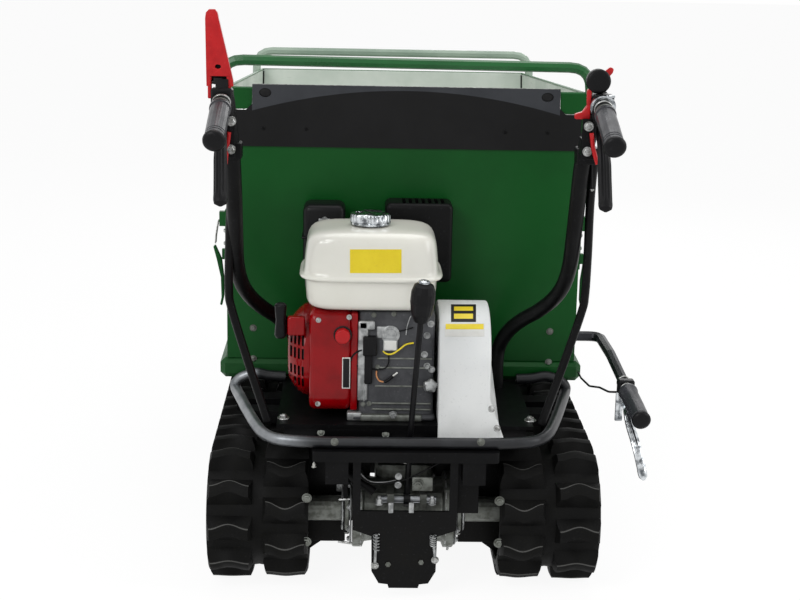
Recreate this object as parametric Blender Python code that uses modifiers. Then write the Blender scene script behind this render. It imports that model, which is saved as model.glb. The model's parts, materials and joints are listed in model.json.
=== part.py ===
"""Tracked power barrow, seen from behind as the operator sees it.

X runs to the operator's right, Y forward, Z up, in metres. Y counts from the rear end of
the tracks, and the root empty moves the whole machine over the origin.
"""
import math

import bmesh
import bpy
from mathutils import Vector

GAP = 0.0003
TUBE_SIDES = 2

# Rubber tracks: 42 pitches round a ten pitch sprocket and an idler of the same size.
PITCH = 0.060
WHEEL_PITCHES = 10
TRACK_PITCHES = 42
PITCH_RADIUS = PITCH * WHEEL_PITCHES / math.tau
WHEELBASE = PITCH * (TRACK_PITCHES - WHEEL_PITCHES) / 2
TRACK_WIDTH = 0.180
TRACK_X = 0.260
BAND_INNER = PITCH_RADIUS - 0.0060
BAND_OUTER = PITCH_RADIUS + 0.0080
LUG_TIP = PITCH_RADIUS + 0.0295
LUG_VALLEY = PITCH_RADIUS + 0.0100
LUG_WIDTH = 0.072
LUG_SHIFT = 0.0525
HORN_TIP = PITCH_RADIUS - 0.0235
HORN_WIDTH = 0.024
AXLE_Y = LUG_TIP
AXLE_Z = LUG_TIP
IDLER_Y = AXLE_Y + WHEELBASE
WHEEL_RADIUS = BAND_INNER - 0.0015
ROLLER_RADIUS = 0.0400
ROLLER_Z = AXLE_Z - BAND_INNER + ROLLER_RADIUS + 0.001
ROLLER_Y = (AXLE_Y + 0.310, AXLE_Y + 0.650)

# Chassis, deck and skip heights.
RAIL_X = 0.120
RAIL_WIDTH = 0.040
RAIL_TOP = 0.2577
RAIL_END = 1.240
BEAM_TOP = 0.277
PLATE_TOP = 0.3033
PLATE_HALF = 0.228
BASE_BOTTOM = 0.3023
BASE_TOP = 0.342
BASE_HALF = 0.352
SKIP_HALF = 0.338
SKIP_REAR = 0.358
SKIP_FLOOR_END = 1.330
SKIP_LIP = 1.480
SKIP_TOP_REAR = 0.865
SKIP_TOP_FRONT = 0.795
PIVOT_Y = 1.230
PIVOT_Z = 0.279

# Selector shaft of the gearbox, as Y and Z.
SELECTOR = (0.060, 0.168)

# Engine: crank along X, recoil starter on the left, drive on the right.
CRANK_Y = 0.185
CRANK_Z = 0.410
BLOCK_TOP = 0.5047
DRIVE_RADIUS = 0.108

# Handlebars, given for the right side and mirrored for the left one. HANDLE_SHIFT moves
# both of them a little to the left, as the machine's bars stand.
BAR_RADIUS = 0.0135
GRIP_END = (0.306, -0.197, 0.840)
BAR_CORNER = (0.3035, -0.028, 0.905)
BAR_ROUTE = [GRIP_END, BAR_CORNER, (0.2905, -0.010, 0.794), (0.291, 0.020, 0.722),
             (0.294, 0.130, 0.540), (0.272, 0.225, 0.470), (0.228, 0.302, 0.420),
             (0.190, 0.309, 0.380), (0.190, 0.309, PLATE_TOP + GAP)]
CLAMP_Y = (-0.0725, -0.0480)
LEVER_PIVOT = (0.3042, -0.0600, 0.8500)
HANDLE_SHIFT = -0.004
CLUTCH_PIVOT_Z = 0.917
STRUT_RADIUS = 0.0075
STRUT_ROUTE = [(0.3125, -0.014, 0.800), (0.318, 0.060, 0.632), (0.326, 0.100, 0.533),
               (0.322, 0.112, 0.500), (0.250, 0.245, 0.305), (0.250, 0.245, BEAM_TOP)]
TIP_ROUTE = [(SKIP_HALF + GAP, 0.375, 0.389), (SKIP_HALF + 0.050, 0.375, 0.389),
             (SKIP_HALF + 0.052, 0.250, 0.388), (SKIP_HALF + 0.066, -0.010, 0.344)]

# The machine's box, from the left track to the tip handle and from grips to skip lip.
LEFT_END = -SKIP_HALF - 0.0263
RIGHT_END = SKIP_HALF + 0.0838
REAR_END = -0.2080
FRONT_END = SKIP_LIP


def collection(name):
    group = bpy.data.collections.new(name)
    bpy.context.scene.collection.children.link(group)
    return group


for old in list(bpy.data.objects):
    bpy.data.objects.remove(old, do_unlink=True)

PARTS = collection("power_barrow")
CUTTERS = collection("cutters")
ROOT = bpy.data.objects.new("power_barrow_origin", None)
PARTS.objects.link(ROOT)
ROOT.location = (-(LEFT_END + RIGHT_END) / 2, -(REAR_END + FRONT_END) / 2, 0.0)


def material(name, colour, roughness, metallic=0.0):
    surface = bpy.data.materials.new(name)
    surface.use_nodes = True
    shader = surface.node_tree.nodes["Principled BSDF"]
    shader.inputs["Base Color"].default_value = (*colour, 1.0)
    shader.inputs["Roughness"].default_value = roughness
    shader.inputs["Metallic"].default_value = metallic
    return surface


GREEN = material("green_paint", (0.010, 0.075, 0.018), 0.35)
PALE = material("galvanised_liner", (0.62, 0.66, 0.62), 0.45)
BLACK = material("black_paint", (0.010, 0.010, 0.011), 0.5)
RUBBER = material("track_rubber", (0.006, 0.006, 0.006), 0.8)
GRIP = material("grip_rubber", (0.02, 0.02, 0.022), 0.55)
STEEL = material("galvanised_steel", (0.55, 0.56, 0.56), 0.35, 1.0)
CHROME = material("chrome", (0.85, 0.86, 0.87), 0.12, 1.0)
CAST = material("cast_housing", (0.22, 0.23, 0.23), 0.5, 0.6)
ENGINE = material("crankcase_grey", (0.045, 0.045, 0.05), 0.55, 0.3)
CREAM = material("tank_cream", (0.72, 0.72, 0.68), 0.3)
WHITE = material("cover_white", (0.76, 0.78, 0.77), 0.4)
RED = material("engine_red", (0.26, 0.002, 0.004), 0.35)
LEVER_RED = material("lever_red", (0.36, 0.02, 0.02), 0.4)
PLASTIC = material("black_plastic", (0.012, 0.012, 0.013), 0.45)


def place(thing, surface, group=PARTS):
    """Link an object, give it its material and hang it on the root."""
    group.objects.link(thing)
    thing.data.materials.clear()
    thing.data.materials.append(surface)
    thing.parent = ROOT
    if group is CUTTERS:
        thing.hide_render = True
        thing.display_type = "WIRE"
    return thing


def box(name, surface, x, y, z, bevel=0.0, segments=2, group=PARTS):
    """Block between pairs of x, y and z values, with rounded edges where asked."""
    mesh = bpy.data.meshes.new(name)
    cube = bmesh.new()
    bmesh.ops.create_cube(cube, size=1.0)
    size = Vector((x[1] - x[0], y[1] - y[0], z[1] - z[0]))
    bmesh.ops.scale(cube, vec=size, verts=cube.verts)
    cube.to_mesh(mesh)
    cube.free()
    block = place(bpy.data.objects.new(name, mesh), surface, group)
    block.location = (sum(x) / 2, sum(y) / 2, sum(z) / 2)
    if bevel:
        edge = block.modifiers.new("rounded", "BEVEL")
        edge.width = bevel
        edge.segments = segments
        mesh.shade_smooth()
        mesh.set_sharp_from_angle(angle=math.radians(50))
    return block


AXIS_TURN = {"X": (0.0, math.pi / 2, 0.0), "-X": (0.0, -math.pi / 2, 0.0),
             "Y": (-math.pi / 2, 0.0, 0.0), "Z": (0.0, 0.0, 0.0)}


def turned(name, surface, profile, centre, axis="Z", steps=24, group=PARTS):
    """Profile of (radius, height) points, outer side from top to bottom, turned about axis."""
    mesh = bpy.data.meshes.new(name)
    points = [(radius, 0.0, height) for radius, height in profile]
    closed = profile[0][0] > 0.0
    count = len(points)
    edges = [(i, (i + 1) % count) for i in range(count if closed else count - 1)]
    mesh.from_pydata(points, edges, [])
    shape = place(bpy.data.objects.new(name, mesh), surface, group)
    shape.location = centre
    shape.rotation_euler = AXIS_TURN[axis] if isinstance(axis, str) else axis
    screw = shape.modifiers.new("turned", "SCREW")
    screw.steps = steps
    screw.render_steps = steps
    screw.use_merge_vertices = True
    screw.merge_threshold = 0.00005
    screw.use_smooth_shade = True
    return shape


def cylinder(name, surface, radius, ends, centre, axis="X", steps=16, group=PARTS):
    low, high = ends
    profile = [(0.0, high), (radius, high), (radius, low), (0.0, low)]
    return turned(name, surface, profile, centre, axis, steps, group)


def sleeve(name, surface, outer, bore, ends, centre, axis="X", steps=20, group=PARTS):
    low, high = ends
    profile = [(outer, high), (outer, low), (bore, low), (bore, high)]
    return turned(name, surface, profile, centre, axis, steps, group)


def rounded(route, radius, steps=4):
    """Open route with an arc of the given radius, or less where runs are short, per corner."""
    points = [Vector(route[0])]
    for before, corner, after in zip(route, route[1:], route[2:]):
        corner = Vector(corner)
        back = Vector(before) - corner
        ahead = Vector(after) - corner
        turn = math.pi - back.angle(ahead)
        reach = min(radius * math.tan(turn / 2), back.length * 0.45, ahead.length * 0.45)
        start = corner + back.normalized() * reach
        end = corner + ahead.normalized() * reach
        for step in range(steps + 1):
            part = step / steps
            first = start.lerp(corner, part)
            points.append(first.lerp(corner.lerp(end, part), part))
    points.append(Vector(route[-1]))
    return points


def tube(name, surface, route, radius, bend=0.03, steps=4, group=PARTS):
    curve = bpy.data.curves.new(name, "CURVE")
    curve.dimensions = "3D"
    curve.bevel_depth = radius
    curve.bevel_resolution = TUBE_SIDES
    curve.use_fill_caps = True
    points = rounded(route, bend, steps) if len(route) > 2 else [Vector(p) for p in route]
    spline = curve.splines.new("POLY")
    spline.points.add(len(points) - 1)
    for knot, point in zip(spline.points, points):
        knot.co = (*point, 1.0)
    spline.use_smooth = True
    return place(bpy.data.objects.new(name, curve), surface, group)


def plate(name, surface, outlines, thickness, centre, plane="YZ", group=PARTS):
    """Flat piece with one outer outline and any holes, in the YZ, XZ or XY plane."""
    curve = bpy.data.curves.new(name, "CURVE")
    curve.dimensions = "2D"
    curve.fill_mode = "BOTH"
    curve.extrude = thickness / 2
    for outline in outlines:
        spline = curve.splines.new("POLY")
        spline.points.add(len(outline) - 1)
        for knot, point in zip(spline.points, outline):
            knot.co = (point[0], point[1], 0.0, 1.0)
        spline.use_cyclic_u = True
    piece = place(bpy.data.objects.new(name, curve), surface, group)
    piece.location = centre
    turn = {"YZ": (math.pi / 2, 0.0, math.pi / 2), "XZ": (math.pi / 2, 0.0, 0.0),
            "XY": (0.0, 0.0, 0.0)}
    piece.rotation_euler = turn[plane]
    return piece


def soft_outline(corners, radius, steps=3):
    """Closed outline with rounded corners."""
    closed = [corners[-1], *corners, corners[0]]
    flat = [(x, y, 0.0) for x, y in closed]
    return [(p.x, p.y) for p in rounded(flat, radius, steps)[1:-1]]


def ring_outline(radius_y, radius_z, centre=(0.0, 0.0), steps=16):
    angles = [math.tau * step / steps for step in range(steps)]
    return [(centre[0] + radius_y * math.cos(a), centre[1] + radius_z * math.sin(a))
            for a in angles]


def as_mesh(shape):
    """Turn a curve or modified object into a plain welded mesh of the same name."""
    bpy.context.view_layer.update()
    view = bpy.context.evaluated_depsgraph_get()
    mesh = bpy.data.meshes.new_from_object(shape.evaluated_get(view))
    weld = bmesh.new()
    weld.from_mesh(mesh)
    bmesh.ops.remove_doubles(weld, verts=weld.verts, dist=0.00001)
    weld.to_mesh(mesh)
    weld.free()
    name = shape.name
    group = shape.users_collection[0]
    surface = shape.data.materials[0]
    spot = shape.matrix_world.copy()
    bpy.data.objects.remove(shape, do_unlink=True)
    solid = place(bpy.data.objects.new(name, mesh), surface, group)
    solid.matrix_world = spot
    return solid


def combine(target, operation, shapes):
    for shape in shapes:
        change = target.modifiers.new(shape.name, "BOOLEAN")
        change.operation = operation
        change.solver = "EXACT"
        change.object = shape
    return target


def join(target, *shapes):
    return combine(target, "UNION", shapes)


def cut(target, *shapes):
    return combine(target, "DIFFERENCE", shapes)


def flat_faces(shape):
    """Merge the faces that a join or a cut leaves split in one plane."""
    clean = shape.modifiers.new("flat faces", "DECIMATE")
    clean.decimate_type = "DISSOLVE"
    clean.angle_limit = math.radians(0.3)


def mirrored(route, side):
    """Handlebar route for one side."""
    return [(side * x + HANDLE_SHIFT, y, z) for x, y, z in route]


def span(side, near, far):
    """X range from near to far on the given side, lowest first."""
    return tuple(sorted((side * near, side * far)))


def handle_span(side, near, far):
    """X range on one side of the handlebars' own middle."""
    return tuple(x + HANDLE_SHIFT for x in span(side, near, far))


def along_bar(distance):
    """Point on the straight grip run of the right handlebar, measured from its end."""
    end = Vector(GRIP_END)
    return end + (Vector(BAR_CORNER) - end).normalized() * distance


def bar_turn(side):
    """Rotation that lays a turned piece's Z axis along the grip run."""
    run = Vector(BAR_CORNER) - Vector(GRIP_END)
    run.x *= side
    return run.to_track_quat("Z", "Y").to_euler()


def loop_point(distance, offset):
    """Point beside the track's pitch line, in the YZ plane about the rear axle."""
    arc = math.pi * PITCH_RADIUS
    distance %= 2 * (WHEELBASE + arc)
    radius = PITCH_RADIUS + offset
    if distance < WHEELBASE:
        return (distance, radius)
    distance -= WHEELBASE
    if distance < arc:
        angle = math.pi / 2 - distance / PITCH_RADIUS
        return (WHEELBASE + radius * math.cos(angle), radius * math.sin(angle))
    distance -= arc
    if distance < WHEELBASE:
        return (WHEELBASE - distance, -radius)
    angle = -math.pi / 2 - (distance - WHEELBASE) / PITCH_RADIUS
    return (radius * math.cos(angle), radius * math.sin(angle))


def plain_loop(radius, steps=11):
    """Round ended outline about both wheels."""
    offset = radius - PITCH_RADIUS
    arc = math.pi * PITCH_RADIUS
    starts = [WHEELBASE, 2 * WHEELBASE + arc]
    return [loop_point(start + arc * min(step / steps, 0.9999), offset)
            for start in starts for step in range(steps + 1)]


def toothed_loop(valley, tip, base, crown, phase):
    """Outline with one tooth for each pitch, wide at its base and narrow at its crown."""
    outline = []
    for tooth in range(TRACK_PITCHES):
        middle = (tooth + phase) * PITCH
        for shift, radius in ((-base, valley), (-crown, tip), (crown, tip), (base, valley)):
            outline.append(loop_point(middle + shift / 2, radius - PITCH_RADIUS))
    return outline


def track(name, side):
    """Rubber band with two staggered rows of lugs outside and guide horns inside."""
    centre = (side * TRACK_X, AXLE_Y, AXLE_Z)
    band = plate(name, RUBBER, [plain_loop(BAND_OUTER), plain_loop(BAND_INNER)],
                 TRACK_WIDTH, centre)
    rows = []
    for row, phase in ((-1, 0.0), (1, 0.5)):
        lugs = toothed_loop(LUG_VALLEY, LUG_TIP, 0.036, 0.024, phase)
        spot = (side * (TRACK_X + row * LUG_SHIFT), AXLE_Y, AXLE_Z)
        rows.append(plate(name + "_lugs%d" % row, RUBBER, [lugs, plain_loop(PITCH_RADIUS)],
                          LUG_WIDTH, spot, group=CUTTERS))
    horns = toothed_loop(BAND_INNER - 0.001, HORN_TIP, 0.030, 0.016, 0.5)
    rows.append(plate(name + "_horns", RUBBER, [plain_loop(PITCH_RADIUS), horns],
                      HORN_WIDTH, centre, group=CUTTERS))
    belt = join(as_mesh(band), *[as_mesh(row) for row in rows])
    for union in belt.modifiers:
        union.use_self = True
    flat_faces(belt)


def drive_sprocket(name, side):
    """Twin discs that run each side of the guide horns, with the half shaft inwards."""
    disc = WHEEL_RADIUS
    profile = [(0.0, 0.1672), (0.0140, 0.1672), (0.0140, 0.050), (0.038, 0.040),
               (0.078, 0.040), (disc, 0.036), (disc, 0.020), (0.040, 0.016),
               (0.040, -0.016), (disc, -0.020), (disc, -0.036), (0.078, -0.040),
               (0.034, -0.046), (0.0, -0.046)]
    turned(name, CAST, profile, (side * TRACK_X, AXLE_Y, AXLE_Z),
           "-X" if side > 0 else "X", 18)


def flanged_wheel(name, side, radius, hub, spot_y, spot_z, bore, steps):
    """Twin flanged wheel with a through bore."""
    profile = [(hub, 0.046), (radius, 0.036), (radius, 0.020), (hub, 0.014),
               (hub, -0.014), (radius, -0.020), (radius, -0.036), (hub, -0.046),
               (bore, -0.046), (bore, 0.046)]
    turned(name, CAST, profile, (side * TRACK_X, spot_y, spot_z), "X", steps)


def track_frame(name, side):
    """Two side plates, a box beam between them and the fixed axles of the wheels."""
    inner = TRACK_X - 0.060
    outer = TRACK_X + 0.052
    low = ROLLER_Z - 0.024
    high = 0.150
    nose = [(IDLER_Y + 0.030 * math.cos(a), AXLE_Z + 0.030 * math.sin(a))
            for a in (-1.2, -0.6, 0.0, 0.6, 1.2)]
    tail = [(AXLE_Y - 0.040 * math.cos(a), AXLE_Z + 0.040 * math.sin(a))
            for a in (1.2, 0.6, 0.0, -0.6, -1.2)]
    body = [(0.26, low), (0.95, low), *nose, (1.02, high + 0.012), (0.22, high + 0.012)]
    bore = ring_outline(0.0160, 0.0160, (AXLE_Y, AXLE_Z), 20)
    inside = plate(name, BLACK, [body[:-1] + tail, bore], 0.008,
                   (side * (inner + 0.004), 0.0, 0.0))
    outside = plate(name + "_outside", BLACK, [body], 0.008,
                    (side * (outer + 0.004), 0.0, 0.0), group=CUTTERS)
    beam = box(name + "_beam", BLACK, span(side, inner + 0.006, outer + 0.002),
               (0.245, 0.960), (0.130, 0.160), group=CUTTERS)
    axles = [cylinder(name + "_axle%d" % index, BLACK, radius, (-0.0575, 0.0575),
                      (side * (TRACK_X - 0.0005), y, z), "X", 14, CUTTERS)
             for index, (radius, y, z) in enumerate(
                 [(0.010, IDLER_Y, AXLE_Z)] + [(0.008, y, ROLLER_Z) for y in ROLLER_Y])]
    join(as_mesh(inside), as_mesh(outside), beam, *axles)


def running_gear():
    for label, side in (("left", -1), ("right", 1)):
        track("track_" + label, side)
        drive_sprocket("drive_sprocket_" + label, side)
        flanged_wheel("front_idler_" + label, side, WHEEL_RADIUS, 0.034, IDLER_Y, AXLE_Z,
                      0.0106, 18)
        for index, y in enumerate(ROLLER_Y):
            flanged_wheel("road_roller_%s_%d" % (label, index + 1), side, ROLLER_RADIUS,
                          0.020, y, ROLLER_Z, 0.0086, 12)
        track_frame("track_frame_" + label, side)


def gearbox():
    """Cast housing on the axle, with its input case in front and the selector bosses."""
    flank = [(0.0, 0.0920), (0.068, 0.0920), (0.070, 0.0900), (0.070, 0.0740),
             (0.060, 0.0700), (0.056, 0.0400)]
    profile = flank + [(radius, -height) for radius, height in reversed(flank)]
    case = turned("gearbox", CAST, profile, (0.0, AXLE_Y, AXLE_Z), "X", 18)
    front = box("gearbox_front", CAST, (-0.050, 0.0555), (0.140, 0.275), (0.120, 0.205),
                0.012, 2, CUTTERS)
    bosses = [box("gearbox_boss%d" % index, CAST, x, (0.049, 0.090), (0.155, 0.181),
                  group=CUTTERS) for index, x in enumerate([(-0.030, -0.018),
                                                            (0.028, 0.040)])]
    tubes = cylinder("axle_tubes", CAST, 0.023, (0.0603 - TRACK_X, TRACK_X - 0.0603),
                     (0.0, AXLE_Y, AXLE_Z), "X", 18, CUTTERS)
    join(case, front, *bosses, tubes)
    for side in (-1, 1):
        cut(case, cylinder("shaft_bore%d" % side, CAST, 0.0150, (0.0920, 0.25),
                           (0.0, AXLE_Y, AXLE_Z), "X" if side > 0 else "-X", 16, CUTTERS))
    cut(case, cylinder("selector_bore", CAST, 0.0076, (-0.06, 0.07),
                       (0.0, SELECTOR[0], SELECTOR[1]), "X", 16, CUTTERS))
    flat_faces(case)


def selector_and_gear_lever():
    y, z = SELECTOR
    cylinder("selector_shaft", STEEL, 0.0068, (-0.047, 0.057), (0.0, y, z), "X", 16)
    hub = sleeve("gear_lever", STEEL, 0.013, 0.0073, (-0.006, 0.006), (0.005, y, z), "X", 16)
    rod = tube("gear_lever_rod", STEEL, [(0.005, y - 0.001, z + 0.0110),
                                         (0.008, 0.048, 0.290), (0.0205, 0.0165, 0.508)],
               0.0055, group=CUTTERS)
    join(hub, as_mesh(rod))
    lean = Vector((0.0125, -0.0315, 0.218)).to_track_quat("Z", "Y").to_euler()
    profile = [(0.0, 0.070), (0.011, 0.070), (0.017, 0.066), (0.021, 0.054),
               (0.0215, 0.036), (0.018, 0.014), (0.012, 0.0), (0.0, 0.0)]
    turned("gear_knob", PLASTIC, profile, (0.0205, 0.0165, 0.5085), lean, 20)


def chassis():
    """Two rails on cross members, with ears for the skip pivot and axle hangers."""
    low = RAIL_TOP - 0.042
    near, far = RAIL_X - RAIL_WIDTH / 2, RAIL_X + RAIL_WIDTH / 2
    frame = box("chassis_frame", BLACK, (near, far), (0.005, RAIL_END), (low, RAIL_TOP))
    extra = [box("chassis_rail", BLACK, (-far, -near), (0.005, RAIL_END), (low, RAIL_TOP),
                 group=CUTTERS)]
    inside = TRACK_X - 0.060 - GAP
    for y in (0.330, 0.850):
        extra.append(box("chassis_cross", BLACK, (-inside, inside), (y - 0.030, y + 0.030),
                         (0.1285, 0.1615), group=CUTTERS))
        for side in (-1, 1):
            extra.append(box("chassis_post", BLACK, span(side, near + 0.005, far - 0.005),
                             (y - 0.025, y + 0.025), (0.155, low + 0.010), group=CUTTERS))
    for half, y0, y1 in ((0.315, 0.300, 0.345), (0.285, 0.225, 0.265)):
        for side in (-1, 1):
            extra.append(box("chassis_outrigger", BLACK, span(side, near, half), (y0, y1),
                             (0.2530, BEAM_TOP - GAP), group=CUTTERS))
    for side in (-1, 1):
        extra.append(box("chassis_rest", BLACK, span(side, near + 0.005, far - 0.005),
                         (0.400, 0.440), (0.250, BASE_BOTTOM - GAP), group=CUTTERS))
        ear = [(PIVOT_Y - 0.030, 0.245), (PIVOT_Y + 0.010, 0.245)]
        ear += [(PIVOT_Y + 0.0125 * math.cos(a), PIVOT_Z + 0.0125 * math.sin(a))
                for a in (-0.3, 0.4, 1.1, 1.8, 2.5)]
        shape = plate("chassis_ear", BLACK, [ear], 0.030, (side * RAIL_X, 0.0, 0.0),
                      group=CUTTERS)
        extra.append(as_mesh(shape))
        extra.append(cylinder("chassis_pin", BLACK, 0.008, (0.110, 0.166),
                              (0.0, PIVOT_Y, PIVOT_Z), "X" if side > 0 else "-X", 16,
                              CUTTERS))
        hanger = box("chassis_hanger", BLACK, span(side, near + 0.001, near + 0.009),
                     (0.088, 0.165), (0.092, low + 0.010), group=CUTTERS)
        extra.append(hanger)
    join(frame, *extra)
    cut(frame, cylinder("axle_bore", BLACK, 0.0234, (-0.2, 0.2), (0.0, AXLE_Y, AXLE_Z),
                        "X", 20, CUTTERS))
    flat_faces(frame)


def deck():
    """Engine plate on its risers, the slotted rear beam, the bumper loop and tow plate."""
    floor = box("engine_plate", BLACK, (-PLATE_HALF, PLATE_HALF), (0.070, 0.348),
                (BASE_BOTTOM - 0.005, PLATE_TOP))
    risers = [box("engine_riser", BLACK, span(side, RAIL_X - 0.018, RAIL_X + 0.018),
                  (0.120, 0.220), (RAIL_TOP + GAP, 0.300), group=CUTTERS)
              for side in (-1, 1)]
    join(floor, *risers)
    slot = soft_outline([(-0.022, 0.031), (0.036, 0.031), (0.036, 0.070), (-0.022, 0.070)],
                        0.006)
    edge = soft_outline([(-0.163, 0.0), (0.163, 0.0), (0.163, 0.085), (-0.163, 0.085)],
                        0.008)
    plate("gate_beam", STEEL, [edge, slot], 0.019, (0.0, 0.0, RAIL_TOP + GAP + 0.0095),
          "XY")
    z = BEAM_TOP + GAP + 0.010
    loop = [(-0.300, 0.345, z), (-0.256, 0.100, z), (-0.190, 0.022, z), (0.190, 0.022, z),
            (0.256, 0.100, z), (0.300, 0.345, z)]
    tube("bumper_loop", STEEL, loop, 0.010, 0.09, 5)
    half = [(0.026, 0.020), (0.028, 0.027), (0.044, 0.029), (0.057, 0.052), (0.058, 0.118),
            (0.092, 0.130), (0.092, RAIL_TOP), (0.078, RAIL_TOP), (0.078, 0.165)]
    whole = half + [(-x, z) for x, z in reversed(half)]
    plate("tow_plate", BLACK, [whole], 0.006, (0.0, 0.011, 0.0), "XZ")


def handlebars():
    for label, side in (("left", -1), ("right", 1)):
        tube("handlebar_" + label, BLACK, mirrored(BAR_ROUTE, side), BAR_RADIUS, 0.05, 3)
        end = along_bar(0.0)
        grip = [(0.0, -0.0060), (0.0145, -0.0060), (0.0172, -0.0030), (0.0172, 0.0060),
                (0.0160, 0.0085), (0.0160, 0.104), (0.0174, 0.106), (0.0174, 0.111),
                (0.0142, 0.111), (0.0142, -0.0004), (0.0, -0.0004)]
        turned("grip_" + label, GRIP, list(reversed(grip)),
               (side * end.x + HANDLE_SHIFT, end.y, end.z), bar_turn(side), 14)
        clamp(label, side)
        steering_lever(label, side)
        strut(label, side)


def bar_cutter(name, side, gap=0.0005):
    return as_mesh(tube(name, BLACK, mirrored(BAR_ROUTE, side), BAR_RADIUS + gap, 0.05, 3,
                        CUTTERS))


def clamp(label, side):
    """Lever perch round the bar, with two ears below for the steering lever."""
    x, y, z = LEVER_PIVOT
    body = box("lever_perch_" + label, PLASTIC, handle_span(side, x - 0.0175, x + 0.0175),
               CLAMP_Y, (z - 0.011, 0.9085), 0.003, 1)
    boss = box("perch_boss_" + label, PLASTIC, handle_span(side, x - 0.010, x + 0.010),
               (-0.067, -0.053), (0.900, 0.9225 if side < 0 else 0.9090), group=CUTTERS)
    slot = box("perch_slot_" + label, PLASTIC, handle_span(side, x - 0.0130, x + 0.0130),
               (-0.1, 0.0), (0.8, z + 0.0125), group=CUTTERS)
    join(body, boss)
    if side < 0:
        join(body, cylinder("clutch_pin", PLASTIC, 0.003, (-0.0238, 0.0178),
                            (HANDLE_SHIFT - x, -0.060, CLUTCH_PIVOT_Z), "X", 12, CUTTERS))
    cut(body, slot, bar_cutter("perch_bore_" + label, side))


def steering_lever(label, side):
    """Fluted pull lever below the grip, hinged between the ears of the perch."""
    x, y, z = LEVER_PIVOT
    hub = cylinder("steering_lever_" + label, PLASTIC, 0.010, (-0.0125, 0.0125),
                   (side * x + HANDLE_SHIFT, y, z), "X", 16)
    route = [(x, y - 0.004, z - 0.003), (x - 0.001, -0.110, 0.815), (x - 0.004, -0.150, 0.779),
             (x - 0.007, -0.190, 0.741)]
    blade = tube("lever_blade_" + label, PLASTIC, mirrored(route, side), 0.0086, 0.05, 3,
                 CUTTERS)
    join(hub, as_mesh(blade))


def strut(label, side):
    """Support strut with the clamp block at its head that grips the handlebar."""
    rod = as_mesh(tube("handle_strut_" + label, STEEL, mirrored(STRUT_ROUTE, side),
                       STRUT_RADIUS, 0.03, 2))
    body = box("strut_clamp_" + label, STEEL, handle_span(side, 0.272, 0.3245), (-0.034, 0.010),
               (0.788, 0.818), 0.004, 1, CUTTERS)
    join(rod, body)
    cut(rod, bar_cutter("clamp_bore_" + label, side))


def hand_controls():
    """Red clutch lever on the left perch, throttle and latch on the right one."""
    x = HANDLE_SHIFT - LEVER_PIVOT[0]
    blade = [(0.0180, 0.0), (0.0125, 0.0), (0.0125, 0.016), (-0.0180, 0.016),
             (-0.0180, 0.0), (-0.0243, 0.0), (-0.0245, 0.010), (-0.0255, 0.106),
             (-0.0242, 0.115), (-0.0195, 0.120), (-0.0100, 0.120), (-0.0060, 0.115),
             (-0.0045, 0.106), (0.0175, 0.010)]
    eye = ring_outline(0.0050, 0.0035, (-0.006, 0.031), 12)
    lever = as_mesh(plate("clutch_lever", LEVER_RED, [blade, eye], 0.011,
                          (x, -0.060, CLUTCH_PIVOT_Z - 0.006), "XZ"))
    cut(lever, cylinder("clutch_bore", LEVER_RED, 0.0034, (-0.03, 0.03),
                        (x, -0.060, CLUTCH_PIVOT_Z), "X", 12, CUTTERS))
    body = [(0.0, 0.020), (0.0170, 0.020), (0.0195, 0.018), (0.0195, 0.002),
            (0.0170, 0.0), (0.0, 0.0)]
    x = LEVER_PIVOT[0] + HANDLE_SHIFT
    middle = (x - 0.004, -0.070, 0.9290)
    turned("throttle_body", PLASTIC, body, middle, "Y", 20)
    arm = [(-0.006, -0.004), (0.004, -0.006), (0.020, 0.012), (0.022, 0.019),
           (0.016, 0.022), (-0.003, 0.006)]
    plate("throttle_lever", LEVER_RED, [soft_outline(arm, 0.004)], 0.005,
          (middle[0], middle[1] + 0.0228, middle[2]), "XZ")
    latch = [(0.004, 0.034), (-0.004, 0.034), (-0.003, 0.008), (-0.010, -0.002),
             (-0.022, -0.006), (-0.022, -0.014), (0.003, -0.014), (0.003, 0.006)]
    plate("lock_lever", LEVER_RED, [soft_outline(latch, 0.003)], 0.012,
          (x - 0.0175 - 0.0043, -0.060, 0.8820), "XZ")


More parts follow.
